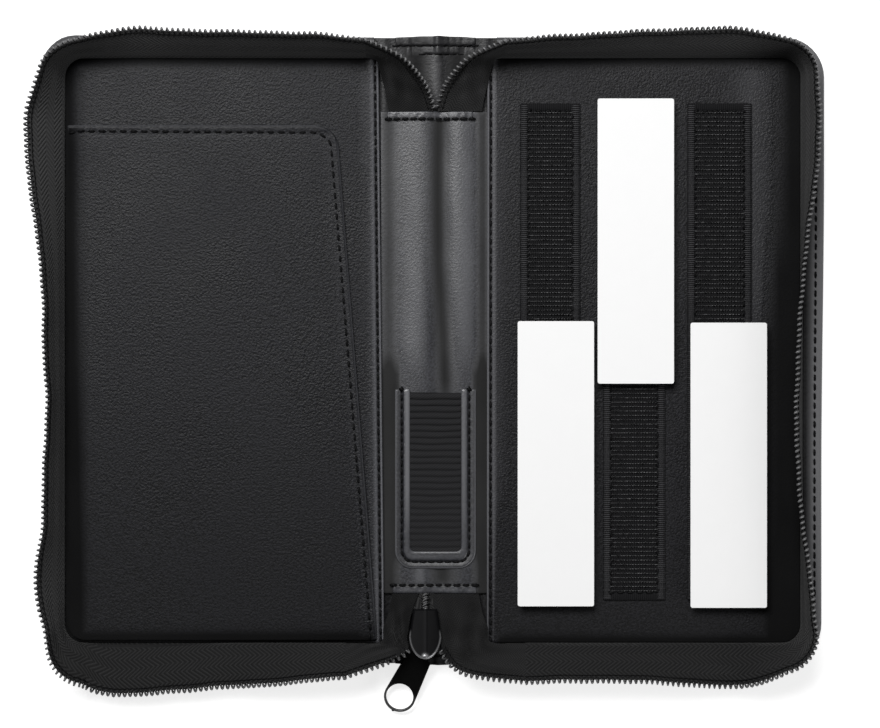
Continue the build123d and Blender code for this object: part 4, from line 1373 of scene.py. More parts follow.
long_stitch = stitch_unit(2.1, 0.80)
hem_stitch = stitch_unit(2.3, 1.0)
thin_stitch = stitch_unit(2.7, 0.42)
print("stitch faces:", len(long_stitch.polygons))

# %% [markdown]
# Each half of the zipper is a strip of twill tape. Its foot is sewn under the border and
# its free edge stands up, leaning outwards or inwards. How far the coil lies outside the
# foot was read off the photo at some stations along each side, and is smoothed between.

# %% How far the tape leans
TAPE_INSET = 6.9
TAPE_TOP_X, TAPE_BOTTOM_X = 23.0, 30.0
STRAIGHT_X, STRAIGHT_Y = END_X - CORNER, HALF_Y - CORNER
SMOOTHING = 4.5
SMOOTHING_REACH = 24
leans = {
    "front_cover": {"top": (3.6, 6.2, 6.4, 6.9, 7.4, 8.4, 5.0),
                    "top_corner": 2.4,
                    "side": (5.4, 12.3, 10.9, 8.7, 5.8, 4.4, 4.5, 3.0, 3.6, 4.5, 4.7, 7.9, 5.6),
                    "bottom_corner": 0.0,
                    "bottom": (14.8, 18.0, 16.4, 15.4, 14.2, 12.5, 10.4)},
    "back_cover": {"top": (3.2, 5.2, 6.0, 7.1, 7.9, 8.2, 4.4),
                   "top_corner": 2.1,
                   "side": (2.6, 4.1, 3.0, 0.6, -1.6, -2.9, -3.8, -4.4, -4.3, -3.5, -1.8, 0.6, 2.3),
                   "bottom_corner": 4.0,
                   "bottom": (8.4, 15.4, 13.8, 12.3, 11.8, 11.6, 12.6)},
}


def lean_line(lean, travelled):
    """The lean at each place of the path, smoothed between the stations."""
    run_top, run_side, run_bottom = STRAIGHT_X - TAPE_TOP_X, 2 * STRAIGHT_Y, STRAIGHT_X - TAPE_BOTTOM_X
    bend = math.pi / 2 * (CORNER - TAPE_INSET)
    starts = {"top": (0.0, run_top), "side": (run_top + bend, run_side),
              "bottom": (run_top + 2 * bend + run_side, run_bottom)}
    stations, values = [], []
    for name, (start, length) in starts.items():
        stations += [start + length * i / (len(lean[name]) - 1) for i in range(len(lean[name]))]
        values += lean[name]
    stations += [run_top + bend / 2, run_top + 1.5 * bend + run_side]
    values += [lean["top_corner"], lean["bottom_corner"]]
    order = np.argsort(stations)
    even = np.arange(0, travelled[-1] + 1, 1.0)
    level = np.interp(even, np.array(stations)[order], np.array(values)[order])
    weights = np.exp(-(np.arange(-SMOOTHING_REACH, SMOOTHING_REACH + 1) / SMOOTHING) ** 2)
    padded = np.concatenate([np.full(SMOOTHING_REACH, level[0]), level, np.full(SMOOTHING_REACH, level[-1])])
    smooth = np.convolve(padded, weights / weights.sum(), mode="valid")
    return np.interp(travelled, even, smooth)


print("stations along each cover:", len(leans["front_cover"]["side"]), "on its long side")

# %% [markdown]
# In section the free part of the tape is an arc: it leaves its foot at one angle and
# curls on to its edge, and the heads of the coil's turns stand 1.6 mm past that edge.
# Where the photo shows the coil further out than the tape can lean, its foot is pulled
# out with it.

# %% The tape's section
TAPE_FREE = 13.6
TAPE_THICK = 0.6
TOOTH = 1.6
LEAN_CURL = 0.4
LONGEST_LEAN = 14.6
ARC_PARTS = 9
UP = Vector((0, 0, 1))


def tape_arc(lean):
    """The tape's free part in its own section: places and slope angles from root to tip."""
    tilt = math.asin(lean / (TAPE_FREE + TOOTH))
    curl = LEAN_CURL * tilt
    angles = [tilt - curl / 2 + curl * i / ARC_PARTS for i in range(ARC_PARTS + 1)]
    places = [(0.0, LINING_TOP)]
    for before, after in zip(angles, angles[1:]):
        middle, step = (before + after) / 2, TAPE_FREE / ARC_PARTS
        places.append((places[-1][0] + step * math.sin(middle), places[-1][1] + step * math.cos(middle)))
    return list(zip(places, angles))


def tape_rows(spot, way, lean):
    """The middle line of the tape at one place, with the direction square to it."""
    line = [(spot + UP * (BOARD_TOP + 0.02), way)]
    pulled = max(0.0, lean - LONGEST_LEAN)
    for (out, z), angle in tape_arc(min(lean, LONGEST_LEAN)):
        line.append((spot + way * (out + pulled) + UP * z, way * math.cos(angle) - UP * math.sin(angle)))
    return line


def closed_section(line, thick):
    """Both faces of a thin cloth round its middle line, with a soft edge at the tip."""
    half = thick / 2
    out = [point + normal * half for point, normal in line]
    back = [point - normal * half for point, normal in reversed(line)]
    end, before = line[-1][0], line[-2][0]
    return out + [end + (end - before).normalized() * half * 0.6] + back


def tip_of(line):
    """The last place of a row and the way on from it."""
    return line[-1], (line[-1] - line[-2]).normalized()


print("an upright tape ends at", round(tape_arc(0.0)[-1][0][1], 1), "mm above the table")

# %% [markdown]
# Now both tapes are made. Small waves along the strip keep it from looking machined. Painted
# light makes the tape paler along the top end and the sides, and painted shade makes it darker
# along the case's bottom end, away from the light.

# %% Zipper tapes
tape_ends_at = {}
tooth_lines = {}
for cover, side in sides.items():
    bare_path = cover_path(side, TAPE_INSET, TAPE_TOP_X, TAPE_BOTTOM_X, 1.5, 14)
    path = [(spot + set_out(spot, side), way) for spot, way in bare_path]
    travelled = travelled_along(path)
    lean = lean_line(leans[cover], travelled)
    lean = [value + 0.12 * math.sin(s / 5.1) + 0.1 * math.sin(s / 2.3 + 1)
            for value, s in zip(lean, travelled)]
    middles = [tape_rows(spot, way, value) for (spot, way), value in zip(path, lean)]
    sections = [closed_section(line, TAPE_THICK) for line in middles]
    # Painted light on the top end and the sides, painted shade on the bottom end.
    shade = [0.22 + (0.18 if way.y > 0 else 0.62) * way.y for _, way in path]
    tape = lofted(f"{cover}_twill_tape", sections, twill, flip=side > 0,
                  worn=np.repeat(shade, len(sections[0])))
    hand_over(tape, cover, "zip_tape", f"{cover}_zip_tape")
    rows = [[place for place, _ in line] for line in middles]
    tape_ends_at[cover] = {"top": rows[0], "bottom": rows[-1]}
    tooth_lines[cover] = [tip_of(row) for row in rows]

# %% [markdown]
# The coil: a nylon wire is wound round the tape's edge and sewn on. Each turn shows as a
# narrow loop whose head stands past the edge, with a small highlight painted on it. A unit of
# one turn is repeated every 1.8 mm. A row of sewing thread holds the legs down.

# %% Coil teeth
TOOTH_PITCH = 1.8
SEWING_BACK, SEWING_OUT = 1.25, 0.36
HALF_TURN = [(-0.52, 0.34, -0.65), (-0.46, 0.44, 0.0), (-0.30, 0.46, 0.62), (-0.12, 0.28, 1.08)]
other_half = [(-x, -y, z) for x, y, z in reversed(HALF_TURN)]
# The numbers given ring by ring paint a highlight on the head of each turn.
coil_turn = tube_unit("coil_turn", HALF_TURN + [(0, 0, 1.24)] + other_half,
                      [0.24, 0.32, 0.36, 0.37, 0.37, 0.37, 0.36, 0.32, 0.24],
                      worn=[0.0, 0.0, 0.25, 0.8, 1.0, 0.8, 0.25, 0.0, 0.0])
sewing_unit = tube_unit("coil_sewing_unit", [(-0.85, 0, -0.1), (0, 0, 0.16), (0.85, 0, -0.1)],
                        [0.16, 0.24, 0.16], 5)


def sewing_lines(line):
    """Lines on both faces of the tape, a little way back from its edge."""
    made = []
    for face in (1, -1):
        row = []
        for index, (point, way) in enumerate(line):
            after = line[min(index + 1, len(line) - 1)][0]
            before = line[max(index - 1, 0)][0]
            out = way.cross((after - before).normalized()) * face
            row.append((point - way * SEWING_BACK + out * SEWING_OUT, out))
        made.append(row)
    return made


def coil_and_sewing(turns_name, sewing_name, line):
    """The coil's turns along a line of heads, and the thread that holds them."""
    teeth = repeated(turns_name, [line], coil_turn, TOOTH_PITCH, nylon)
    sewing = repeated(sewing_name, sewing_lines(line), sewing_unit, TOOTH_PITCH, thread)
    return teeth, sewing


for cover in sides:
    teeth, sewing = coil_and_sewing(f"{cover}_coil_turns", f"{cover}_coil_sewing", tooth_lines[cover])
    hand_over(teeth, cover, "zip_coil", f"{cover}_zip_coil")
    hand_over(sewing, cover, "zip_coil")

# %% [markdown]
# Beside the spine each tape leaves its cover and runs to a hem of the spine strip. These
# four free ends twist and bulge. A smooth spline runs through listed places, one on the seam
# side and one on the coil side. At the bottom the coils run into the slider, so their places
# are counted from its tail: how far along it, and how far to the side.

# %% Where the free ends run
SLIDER_X = -3.4
SLIDER_TAIL = Vector((SLIDER_X, -86.5, 5.6))
SLIDER_PITCH = math.radians(20.5)
SLIDER_HALF_WIDTH = 5.2
SLIDER_REACH = 14.6
TOP_SEAM = ((19.5, 96.5, 4.6), (17.6, 90.0, 4.6), (16.2, 84.1, 3.5), (15.6, STRIP_Y[1], 2.7))
TOP_COIL = ((12.3, 96.7, 14.2), (6.9, 91.8, 10.0), (3.2, 86.6, 5.4), (0.9, STRIP_Y[1], 3.1))
BOTTOM_SEAM = ((18.5, -97.3, 4.6), (17.2, -92.0, 4.6), (15.5, -87.0, 3.6), (14.4, STRIP_Y[0], 2.7))
BESIDE_SLIDER = {-1: ((13.6, 2.3), (8.0, 0.9), (1.0, -0.5)), 1: ((19.4, 8.4), (13.8, 1.3), (6.0, -0.8))}
INTO_CHAIN = (-5.3, 2.3)


def spline(points, per_span):
    """A smooth line through given points, evenly divided between them."""
    made = []
    for index in range(len(points) - 1):
        p0 = points[max(index - 1, 0)]
        p1, p2 = points[index], points[index + 1]
        p3 = points[min(index + 2, len(points) - 1)]
        for step in range(per_span):
            t = step / per_span
            made.append(0.5 * ((2 * p1) + (p2 - p0) * t + (2 * p0 - 5 * p1 + 4 * p2 - p3) * t * t
                               + (3 * p1 - p0 - 3 * p2 + p3) * t ** 3))
    return made + [points[-1]]


def on_side(side, place):
    """A place given for the right-hand side, on either side of the spine."""
    return Vector((side * place[0], place[1], place[2]))


def coil_places(side, end):
    """Where the coil side of a free end passes, past the cover's own tape."""
    if end > 0:
        return [on_side(side, place) for place in TOP_COIL]
    beside = [(along, SLIDER_HALF_WIDTH + off) for along, off in BESIDE_SLIDER[side]] + [INTO_CHAIN]
    places = []
    for along, away in beside:
        rise = min(along, SLIDER_REACH) * math.tan(SLIDER_PITCH) + 0.5 * max(0.0, along - SLIDER_REACH)
        places.append(SLIDER_TAIL + Vector((side * away, -along, rise)))
    return places


print("the bottom coils enter the chain", -INTO_CHAIN[0], "mm behind the slider's tail")

# %% [markdown]
# The cloth between the two lines starts with the arc of the cover's tape and goes flat
# towards the hem. Swells and folds die out at both edges; beside the slider one deep fold
# runs slantwise, with small ribs along it on the right.

# %% The middle surface of a free end
END_COLUMNS = 14
ROWS_PER_SPAN = 15


def end_lift(side, end, t, share):
    """How far folds lift the cloth: t runs from seam to coil, share from cover to hem."""
    swell = math.sin(math.pi * t) * math.sin(math.pi * share)
    fold = math.sin(2.6 * math.pi * t + 3.0 * share * math.pi) * math.sin(math.pi * t) ** 0.7
    lift = 0.7 * swell + 0.45 * fold * math.sin(math.pi * share)
    if end < 0:
        crease = 1.02 - 0.86 * share
        deep = 1.7 * dip(t, crease, 0.13) - 1.1 * dip(t, crease - 0.27, 0.14)
        lift += math.sin(math.pi * min(1.0, 1.15 * share)) * deep
        if side > 0:
            lift += 0.20 * math.sin(2 * math.pi * share * 15) * dip(t, crease - 0.1, 0.12)
    return lift


def free_end(side, end, first_line):
    """The middle surface of a free end as rows of points from seam to coil."""
    seams = [on_side(side, place) for place in (TOP_SEAM if end > 0 else BOTTOM_SEAM)]
    real = first_line[1:]
    seam_line = spline([real[0]] + seams, ROWS_PER_SPAN)
    coil_line = spline([real[-1]] + coil_places(side, end), ROWS_PER_SPAN)
    rows = []
    for index, (seam_point, tip) in enumerate(zip(seam_line, coil_line)):
        share = index / (len(seam_line) - 1)
        near = max(0.0, 1 - index / ROWS_PER_SPAN) ** 2
        row = []
        for column in range(END_COLUMNS + 1):
            t = column / END_COLUMNS
            at = t * (len(real) - 1)
            low = min(int(at), len(real) - 2)
            arc_point = real[low].lerp(real[low + 1], at - low)
            bow = (arc_point - real[0].lerp(real[-1], t)) * near
            row.append(seam_point.lerp(tip, t) + bow + UP * end_lift(side, end, t, share))
        rows.append(row)
    return rows


def cloth_from_rows(rows, thick):
    """Sections for a thin cloth whose middle surface is given as rows."""
    place = np.array([[tuple(point) for point in row] for row in rows])
    normal = np.cross(np.gradient(place, axis=0), np.gradient(place, axis=1))
    normal /= np.maximum(np.linalg.norm(normal, axis=2), 1e-9)[:, :, None]
    return [closed_section([(Vector(p), Vector(n)) for p, n in zip(row, row_normals)], thick)
            for row, row_normals in zip(place, normal)]


print("each free end:", 4 * ROWS_PER_SPAN + 1, "rows of", END_COLUMNS + 1, "points")

# %% [markdown]
# A bunched cloth has painted shade in its folds and painted light on its ridges. Its painted
# shade starts with the tape's own.

# %% Free tape ends
START_SHADE = {"top": 0.5, "bottom": -0.2}
END_SHADES = {("front_cover", "top"): -0.6, ("back_cover", "top"): -0.15,
              ("front_cover", "bottom"): -0.85, ("back_cover", "bottom"): -0.65}
BOTTOM_COIL_ROWS = {"front_cover": 19, "back_cover": 33}


def fold_shade(rows, first, level):
    """Painted shade in the folds and painted light on the ridges, for both faces of a bunched end."""
    shades = []
    for index in range(len(rows)):
        share = index / (len(rows) - 1)
        face = []
        for column in range(len(rows[0])):
            t = column / (len(rows[0]) - 1)
            fold = math.sin(2 * math.pi * (1.9 * t + 1.6 * share))
            fold += 0.6 * math.sin(2 * math.pi * (1.1 * t - 3.1 * share) + 1.0)
            base = first + (level - first) * ease(share, 0.0, 0.4)
            face.append(base + 0.24 * fold * math.sin(math.pi * share))
        shades += face + [face[-1]] + face[::-1]
    return shades


for cover, side in sides.items():
    for end, end_name in ((1, "top"), (-1, "bottom")):
        rows = free_end(side, end, tape_ends_at[cover][end_name])
        shade = fold_shade(rows, START_SHADE[end_name], END_SHADES[cover, end_name])
        cloth = lofted(f"{cover}_tape_end_{end_name}", cloth_from_rows(rows, TAPE_THICK), bunched_twill,
                       flip=side * end < 0, worn=shade)
        above_hem = sum(row[-1].y > STRIP_Y[1] + 1.2 for row in rows)
        coil_rows = above_hem if end > 0 else BOTTOM_COIL_ROWS[cover]
        teeth, sewing = coil_and_sewing(f"{cover}_coil_end_{end_name}", f"{cover}_coil_end_sewing_{end_name}",
                                        [tip_of(row) for row in rows[:coil_rows]])
        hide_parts(f"{cover}_tape_ends")
        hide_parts(f"{cover}_coil_ends")
        for made, slot_name in ((cloth, "zip_tape"), (teeth, "zip_coil"), (sewing, "zip_coil")):
            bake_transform(made)

# %% [markdown]
# The pen pocket is a leather U sewn on the spine strip, round a window of ribbed elastic.
# Outside its stitches the leather is thin and pressed down, and inside them it is folded
# double. These lines follow the U's outer line, so the distance from it comes first.

# %% Pen pocket frame
PEN_TOP, PEN_BOTTOM = -12.8, -72.8
PEN_WIDE, PEN_WINDOW = 13.5, 8.5
PEN_SILL = -66.9
PEN_CORNER = 6.0
PEN_STITCH_IN = 2.25
PEN_BEND_X, PEN_BEND_Y = PEN_WIDE - PEN_CORNER, PEN_BOTTOM + PEN_CORNER
PEN_DETAIL = (0.15, 0.35, 0.7, 1.1, 1.5, 1.8, 2.05, PEN_STITCH_IN, 2.45, 2.7, 3.0, 3.4, 3.9)
DETAIL_STEP = 0.72


def pen_outer_distance(x, y):
    """Distance in from the outer line of the U, whose foot has round corners."""
    straight = np.minimum(PEN_WIDE - abs(x), y - PEN_BOTTOM)
    round_part = PEN_CORNER - np.hypot(abs(x) - PEN_BEND_X, y - PEN_BEND_Y)
    return np.where((abs(x) > PEN_BEND_X) & (y < PEN_BEND_Y), round_part, straight)


def pen_frame_top(x, y, d):
    """A pressed rim, a stitch groove and a raised band towards the window."""
    out = pen_outer_distance(x, y)
    band = np.clip((out - 2.3) / 0.9, 0, 1)
    band = band * band * (3 - 2 * band)
    pucker = 0.06 * np.cos(2 * math.pi * y / 2.9) * dip(out, 2.2, 0.6)
    return (STRIP_TOP + 0.85 + 0.75 * band + 0.14 * dip(out, 0.7, 0.5)
            - 0.42 * dip(out, PEN_STITCH_IN, 0.3) + pucker - roll(d, 0.5))


def pen_painted_light(x, y, d):
    """A painted highlight on the rim, a band of painted light by the window that is brighter on the left and
    fades at the foot, and painted shade in the groove between.
    """
    out = pen_outer_distance(x, y)
    bright = np.where(x < 0, 0.95, 0.55) * np.clip((y + 68.0) / 22.0, 0.25, 1)
    return (0.75 * dip(out, 0.2, 0.28) + bright * dip(out, 4.1, 0.9) - 0.45 * dip(out, 2.2, 0.5)
            - 0.3 * dip(out, 1.0, 0.4))


pen_corners = [(-PEN_WIDE, PEN_BOTTOM), (PEN_WIDE, PEN_BOTTOM), (PEN_WIDE, PEN_TOP), (PEN_WINDOW, PEN_TOP),
               (PEN_WINDOW, PEN_SILL), (-PEN_WINDOW, PEN_SILL), (-PEN_WINDOW, PEN_TOP), (-PEN_WIDE, PEN_TOP)]
pen_outline = rounded(pen_corners, [PEN_CORNER, PEN_CORNER, 0.7, 0.7, 1.6, 1.6, 0.7, 0.7], 7)
pen_detail = [(sign * (PEN_WIDE - step), y) for sign in (-1, 1)
              for y in np.arange(PEN_BEND_Y, PEN_TOP - 0.5, DETAIL_STEP) for step in PEN_DETAIL]
pen_detail += [(x, PEN_BOTTOM + step) for x in np.arange(-7.2, 7.3, DETAIL_STEP) for step in PEN_DETAIL]
pen_detail += [(sign * (PEN_BEND_X + (PEN_CORNER - step) * math.sin(a)),
                PEN_BEND_Y - (PEN_CORNER - step) * math.cos(a))
               for sign in (-1, 1) for a in np.linspace(0.08, 1.5, 11) for step in PEN_DETAIL]
pen_frame = panel("pen_pocket_leather", dense(pen_outline, 0.9), pen_frame_top, level_at(STRIP_TOP - 0.5),
                  [0.05, 0.16, 0.32], 0.9, spine_leather, detail=pen_detail, paint_wear_and_light=pen_painted_light)
hand_over(pen_frame, "spine", "spine_leather", "pen_pocket_frame")

# %% [markdown]
# Ribbed elastic: stout ribs run across it with deep gaps between. The ribs follow a
# rule, so they are a sheet whose height is a rounded comb, with a small waviness.

# %% Pen pocket elastic
RIB_PITCH = 2.15
RIB_HIGH = 0.80
ROWS_PER_RIB = 10
ELASTIC_TOP, ELASTIC_BOTTOM = -14.2, -67.4
ELASTIC_LONG = ELASTIC_TOP - ELASTIC_BOTTOM
ELASTIC_HALF = 8.9
ELASTIC_BASE = 3.1
ELASTIC_COLUMNS = 14


def elastic_sections():
    """Rows of the elastic from its top end to its foot, closed round the strip."""
    rows = []
    count = int(ELASTIC_LONG / RIB_PITCH * ROWS_PER_RIB)
    for index in range(count + 1):
        y = ELASTIC_TOP - ELASTIC_LONG * index / count
        phase = (ELASTIC_TOP - y) / RIB_PITCH
        comb = abs(math.sin(math.pi * phase)) ** 0.45
        over = []
        for column in range(ELASTIC_COLUMNS + 1):
            x = -ELASTIC_HALF + 2 * ELASTIC_HALF * column / ELASTIC_COLUMNS
            bow = 0.15 * math.sin(x * 0.5 + phase * 0.7) + 0.25 * (x / 9) ** 2
            z = ELASTIC_BASE + 0.05 + RIB_HIGH * comb - 0.25 * abs(x / ELASTIC_HALF) ** 6
            over.append(Vector((x, y + bow * 0.6, z)))
        rows.append(over + [Vector((point.x, point.y, ELASTIC_BASE)) for point in reversed(over)])
    return rows


elastic = lofted("pen_pocket_ribbed_elastic", elastic_sections(), elastic_weave, flip=True, sharp=75)
hand_over(elastic, "spine", "elastic", "pen_pocket_elastic")
print(elastic.name, round(ELASTIC_LONG, 1), "mm long,", int(1 + ELASTIC_LONG / RIB_PITCH), "ribs")

# %% [markdown]
# Hook tape: a stiff woven strip with fine threads across its selvedges, and a field of
# tiny nylon hooks in rows between them. The hooks are units of a few faces, repeated
# along one line for each row, and each row stands on a thread.

# %% Hook strips
STRIP_PLACES = ((38.2, 20.0), (66.15, 20.7), (94.6, 21.5))
STRIP_LONG, STRIP_MIDDLE_Y = 165.5, -0.45
STRIP_LOW, STRIP_HIGH = STRIP_MIDDLE_Y - STRIP_LONG / 2, STRIP_MIDDLE_Y + STRIP_LONG / 2
STRIP_SEAM_IN = 2.6
FIELD_IN = 3.1
SELVEDGE_IN = 1.45
HOOK_ROW = 1.46
HOOK_ROOT = LINING_TOP + 0.78
hook_unit = tube_unit("hook", [(0, -0.22, -0.3), (0, -0.05, 0.4), (0, 0.26, 0.7), (0, 0.48, 0.45)],
                      [0.16, 0.14, 0.13, 0.10], 4)
row_unit = tube_unit("hook_row_thread", [(-0.5, 0, 0.10), (0, 0, 0.24), (0.5, 0, 0.10)],
                     [0.10, 0.15, 0.10], 4)
thread_unit = tube_unit("cross_thread", [(0, -1.35, -0.05), (0, -0.5, 0.1), (0, 0.5, 0.1), (0, 1.35, -0.05)],
                        [0.10, 0.17, 0.17, 0.10], 4)


def strip_top(x, y, d):
    """The woven base: a rolled edge, a slightly raised selvedge and a groove for the stitches."""
    return LINING_TOP + 0.75 - roll(d, 0.3) + 0.12 * dip(d, 1.2, 0.9) - 0.2 * dip(d, STRIP_SEAM_IN, 0.35)


def upright_line(x1, y1, x2, y2):
    """A straight line on the strip, whose units stand up."""
    return [(Vector((x1, y1, HOOK_ROOT)), UP), (Vector((x2, y2, HOOK_ROOT)), UP)]


for number, (strip_x, strip_wide) in enumerate(STRIP_PLACES, start=1):
    name = f"hook_strip_{number}"
    left, right = strip_x - strip_wide / 2, strip_x + strip_wide / 2
    outline = rounded(box_corners(left, right, STRIP_LOW, STRIP_HIGH), [0.4] * 4, 3)
    base = panel(f"{name}_tape", dense(outline, 2.0), strip_top, level_at(LINING_TOP - 0.25),
                 [0.1, 0.3, 1.2, 2.1, STRIP_SEAM_IN, FIELD_IN], 3.0, hook_weave, paint_wear_and_light=no_wear)
    rows = []
    row_y = STRIP_LOW + 3.2
    while row_y < STRIP_HIGH - 3.0:
        rows.append(upright_line(left + FIELD_IN, row_y, right - FIELD_IN, row_y))
        row_y += HOOK_ROW
    selvedges = [upright_line(x, STRIP_LOW + 0.8, x, STRIP_HIGH - 0.8)
                 for x in (left + SELVEDGE_IN, right - SELVEDGE_IN)]
    hooks = repeated(f"{name}_hooks", rows, hook_unit, 0.9, hook_nylon, 0.35)
    ribs = repeated(f"{name}_rows", rows, row_unit, 0.96, row_nylon, 0.3)
    weft = repeated(f"{name}_selvedge", selvedges, thread_unit, 0.66, selvedge_thread, 0.15)
    hand_over(base, "back_cover", "hook_tape", name)
    for made in (hooks, ribs, weft):
        hand_over(made, "back_cover", "hook_tape")
    print(name, "has", len(rows), "rows of hooks")

# %% [markdown]
# On each hook strip lies a self-adhesive loop pad: a soft fleece with a white liner that
# is still to be peeled off. Its edges are cut, so the corners are nearly square.

# %% Loop pads and liners
HOOK_TOP, PAD_THICK, LINER_THICK = 5.8, 2.0, 0.25
PAD_TOP = HOOK_TOP + PAD_THICK
PAD_WIDE, PAD_LONG = 25.3, 94.5
PAD_PLACES = ((39.9, -37.55), (66.4, 36.25), (97.2, -38.05))


def pad_outline(pad_x, pad_y, grow):
    """A pad seen from above, grown by a margin on every side."""
    wide, long = PAD_WIDE / 2 + grow, PAD_LONG / 2 + grow
    corners = box_corners(pad_x - wide, pad_x + wide, pad_y - long, pad_y + long)
    return dense(rounded(corners, [0.7] * 4, 4), 2.0)


def liner_wave(x, y):
    """The liner's slight unevenness."""
    return 0.03 * np.sin(x / 5.0 + y / 17.0)


for number, (pad_x, pad_y) in enumerate(PAD_PLACES, start=1):
    pad = panel(f"loop_pad_{number}_fleece", pad_outline(pad_x, pad_y, -0.15),
                lambda x, y, d: PAD_TOP - 0.02 - roll(d, 0.25),
                lambda x, y, d: HOOK_TOP + roll(d, 0.6) + 0.06 * np.sin(x * 2.1) * np.sin(y * 1.7),
                [0.08, 0.25, 0.6], 3.0, loop_fabric)
    liner = panel(f"release_liner_{number}_paper", pad_outline(pad_x, pad_y, 0.0),
                  lambda x, y, d: PAD_TOP + LINER_THICK + liner_wave(x, y),
                  lambda x, y, d: PAD_TOP + liner_wave(x, y), [0.1, 0.6], 5.0, liner_paper)
    hand_over(pad, f"pad_{number}", "loop_pad", f"loop_pad_{number}")
    hand_over(liner, f"pad_{number}", "release_liner", f"release_liner_{number}")
print("pads:", len(PAD_PLACES), "each", PAD_WIDE, "by", PAD_LONG, "mm")

# %% [markdown]
# The slider's upper plate is a shield of enamelled metal with a faint ridge down its
# middle. The rigid solid keeps the lower plate and the channel, and a crowned cap is laid
# over the upper plate. Where the enamel is worn, at the nose, an attribute lets a brighter
# metal through. The cap is drawn flat, and a matrix lays it on the sloping slider.

# %% Slider cap
SLIDER_LONG, SLIDER_TAIL_HALF, SLIDER_WIDE_AT = 16.6, 3.85, 9.4
SLIDER_ALONG = Vector((0, -math.cos(SLIDER_PITCH), math.sin(SLIDER_PITCH)))
CAP_BASE, CAP_TOP, CAP_CROWN = 1.32, 2.34, 0.30
slider_up = Vector((0, SLIDER_ALONG.z, -SLIDER_ALONG.y))
slider_axes = Matrix((Vector((-1, 0, 0)), SLIDER_ALONG, slider_up)).transposed()
slider_frame = Matrix.Translation(SLIDER_TAIL) @ slider_axes.to_4x4()


def shield_outline(grow):
    """The slider plate seen from above, tail at 0 and nose at the far end."""
    tail, wide, nose = SLIDER_TAIL_HALF + grow, SLIDER_HALF_WIDTH + grow, SLIDER_LONG + grow
    right = [(tail, -grow), (tail + (wide - tail) * 0.5, SLIDER_WIDE_AT * 0.45), (wide, SLIDER_WIDE_AT)]
    for step in range(1, 10):
        angle = math.pi / 2 * step / 9
        y = SLIDER_WIDE_AT + (nose - SLIDER_WIDE_AT) * math.sin(angle) ** 1.15
        right.append((wide * math.cos(angle) ** 0.95, y))
    return right + [(-x, y) for x, y in reversed(right[:-1])]


def cap_top(x, y, d):
    """A low crown with a faint ridge along the middle."""
    crown = CAP_CROWN * (1 - (x / 5.4) ** 2)
    return CAP_TOP + crown + 0.10 * dip(x, 0, 0.35) - roll(d, 0.9)


def cap_wear(x, y, d):
    """Bare metal: a thin line round the nose, a bright tip and a hint along the ridge."""
    nose = np.clip((y - 7.0) / 3.0, 0, 1)
    tip = 1.2 * dip(np.hypot(x, y - SLIDER_LONG + 0.3), 0, 0.8)
    return np.clip(nose * dip(d, 0.1, 0.28) + tip + 0.02 * dip(x, 0, 0.25), 0, 1)


cap = panel("slider_cap", dense(shield_outline(0.12), 0.4), cap_top, level_at(CAP_BASE),
            [0.05, 0.16, 0.3, 0.45, 0.65, 0.9], 0.45, enamel, place=slider_frame, sharp=60, paint_wear_and_light=cap_wear)
hand_over(cap, "slider", "zip_metal")
repaint("slider_body", enamel)
repaint("slider_bail", enamel)

# %% [markdown]
# The pull is a stamped plate: a fork that holds a thin bar, a neck and a wide ring. The
# enamel is rubbed along the ring, and a small burr is left at its end. It hangs from its
# bar and rests with its tip low.

# %% Pull
PULL_BAR = Vector((SLIDER_X, -98.0116, 6.2208))
PULL_YAW, PULL_LONG, PULL_TIP = math.radians(26.0), 25.1, 1.7
PULL_HALF, PULL_HOLE = 5.3, 4.55
PULL_HALF_THICK, PULL_ROLL = 0.6, 0.22
FORK_HALF, SLOT_HALF, SLOT_DEEP = 2.9, 1.7, 3.2
RING_Y = PULL_LONG - PULL_HALF
pull_drop = math.asin((PULL_BAR.z - PULL_TIP) / PULL_LONG)
pull_way = Vector((-math.sin(PULL_YAW) * math.cos(pull_drop), -math.cos(PULL_YAW) * math.cos(pull_drop),
                   -math.sin(pull_drop)))
pull_side = Vector((-math.cos(PULL_YAW), math.sin(PULL_YAW), 0))
pull_axes = Matrix((pull_side, pull_way, pull_side.cross(pull_way))).transposed()
pull_frame = Matrix.Translation(PULL_BAR) @ pull_axes.to_4x4()


def pull_wear(x, y, d):
    """Rubbed enamel along the outer rim of the ring."""
    return 1.0 * dip(d, 0.1, 0.3) * np.clip((y - RING_Y + 3) / 4, 0, 1)


fork = [(FORK_HALF, 0.0), (FORK_HALF, 3.6), (3.4, 4.4), (4.3, 5.2)]
slot = [(-SLOT_HALF, 0.0), (-SLOT_HALF, SLOT_DEEP), (SLOT_HALF, SLOT_DEEP), (SLOT_HALF, 0.0)]
pull_outline = fork + arc(0, RING_Y, PULL_HALF, 0, 180, 25) + [(-x, y) for x, y in reversed(fork)] + slot
pull_hole = arc(0, RING_Y, PULL_HOLE, 0, 360, 33)[:-1]
pull = panel("pull_plate", dense(pull_outline, 0.8), lambda x, y, d: PULL_HALF_THICK - roll(d, PULL_ROLL),
             lambda x, y, d: -PULL_HALF_THICK + roll(d, PULL_ROLL), [0.07, 0.16, 0.24], 1.2, pull_enamel,
             hole=pull_hole, place=pull_frame, sharp=60, paint_wear_and_light=pull_wear)
hand_over(pull, "pull", "pull_metal", "pull_tab")
bar_mesh = tube_unit("pull_bar", [(x, 0, 0) for x in (-FORK_HALF, -1.0, 1.0, FORK_HALF)], [0.55] * 4, 16)
burr_mesh = tube_unit("pull_burr", [(0, PULL_LONG + y, 0) for y in (-0.5, 0.05, 0.4)], [0.5, 0.55, 0.25], 10)
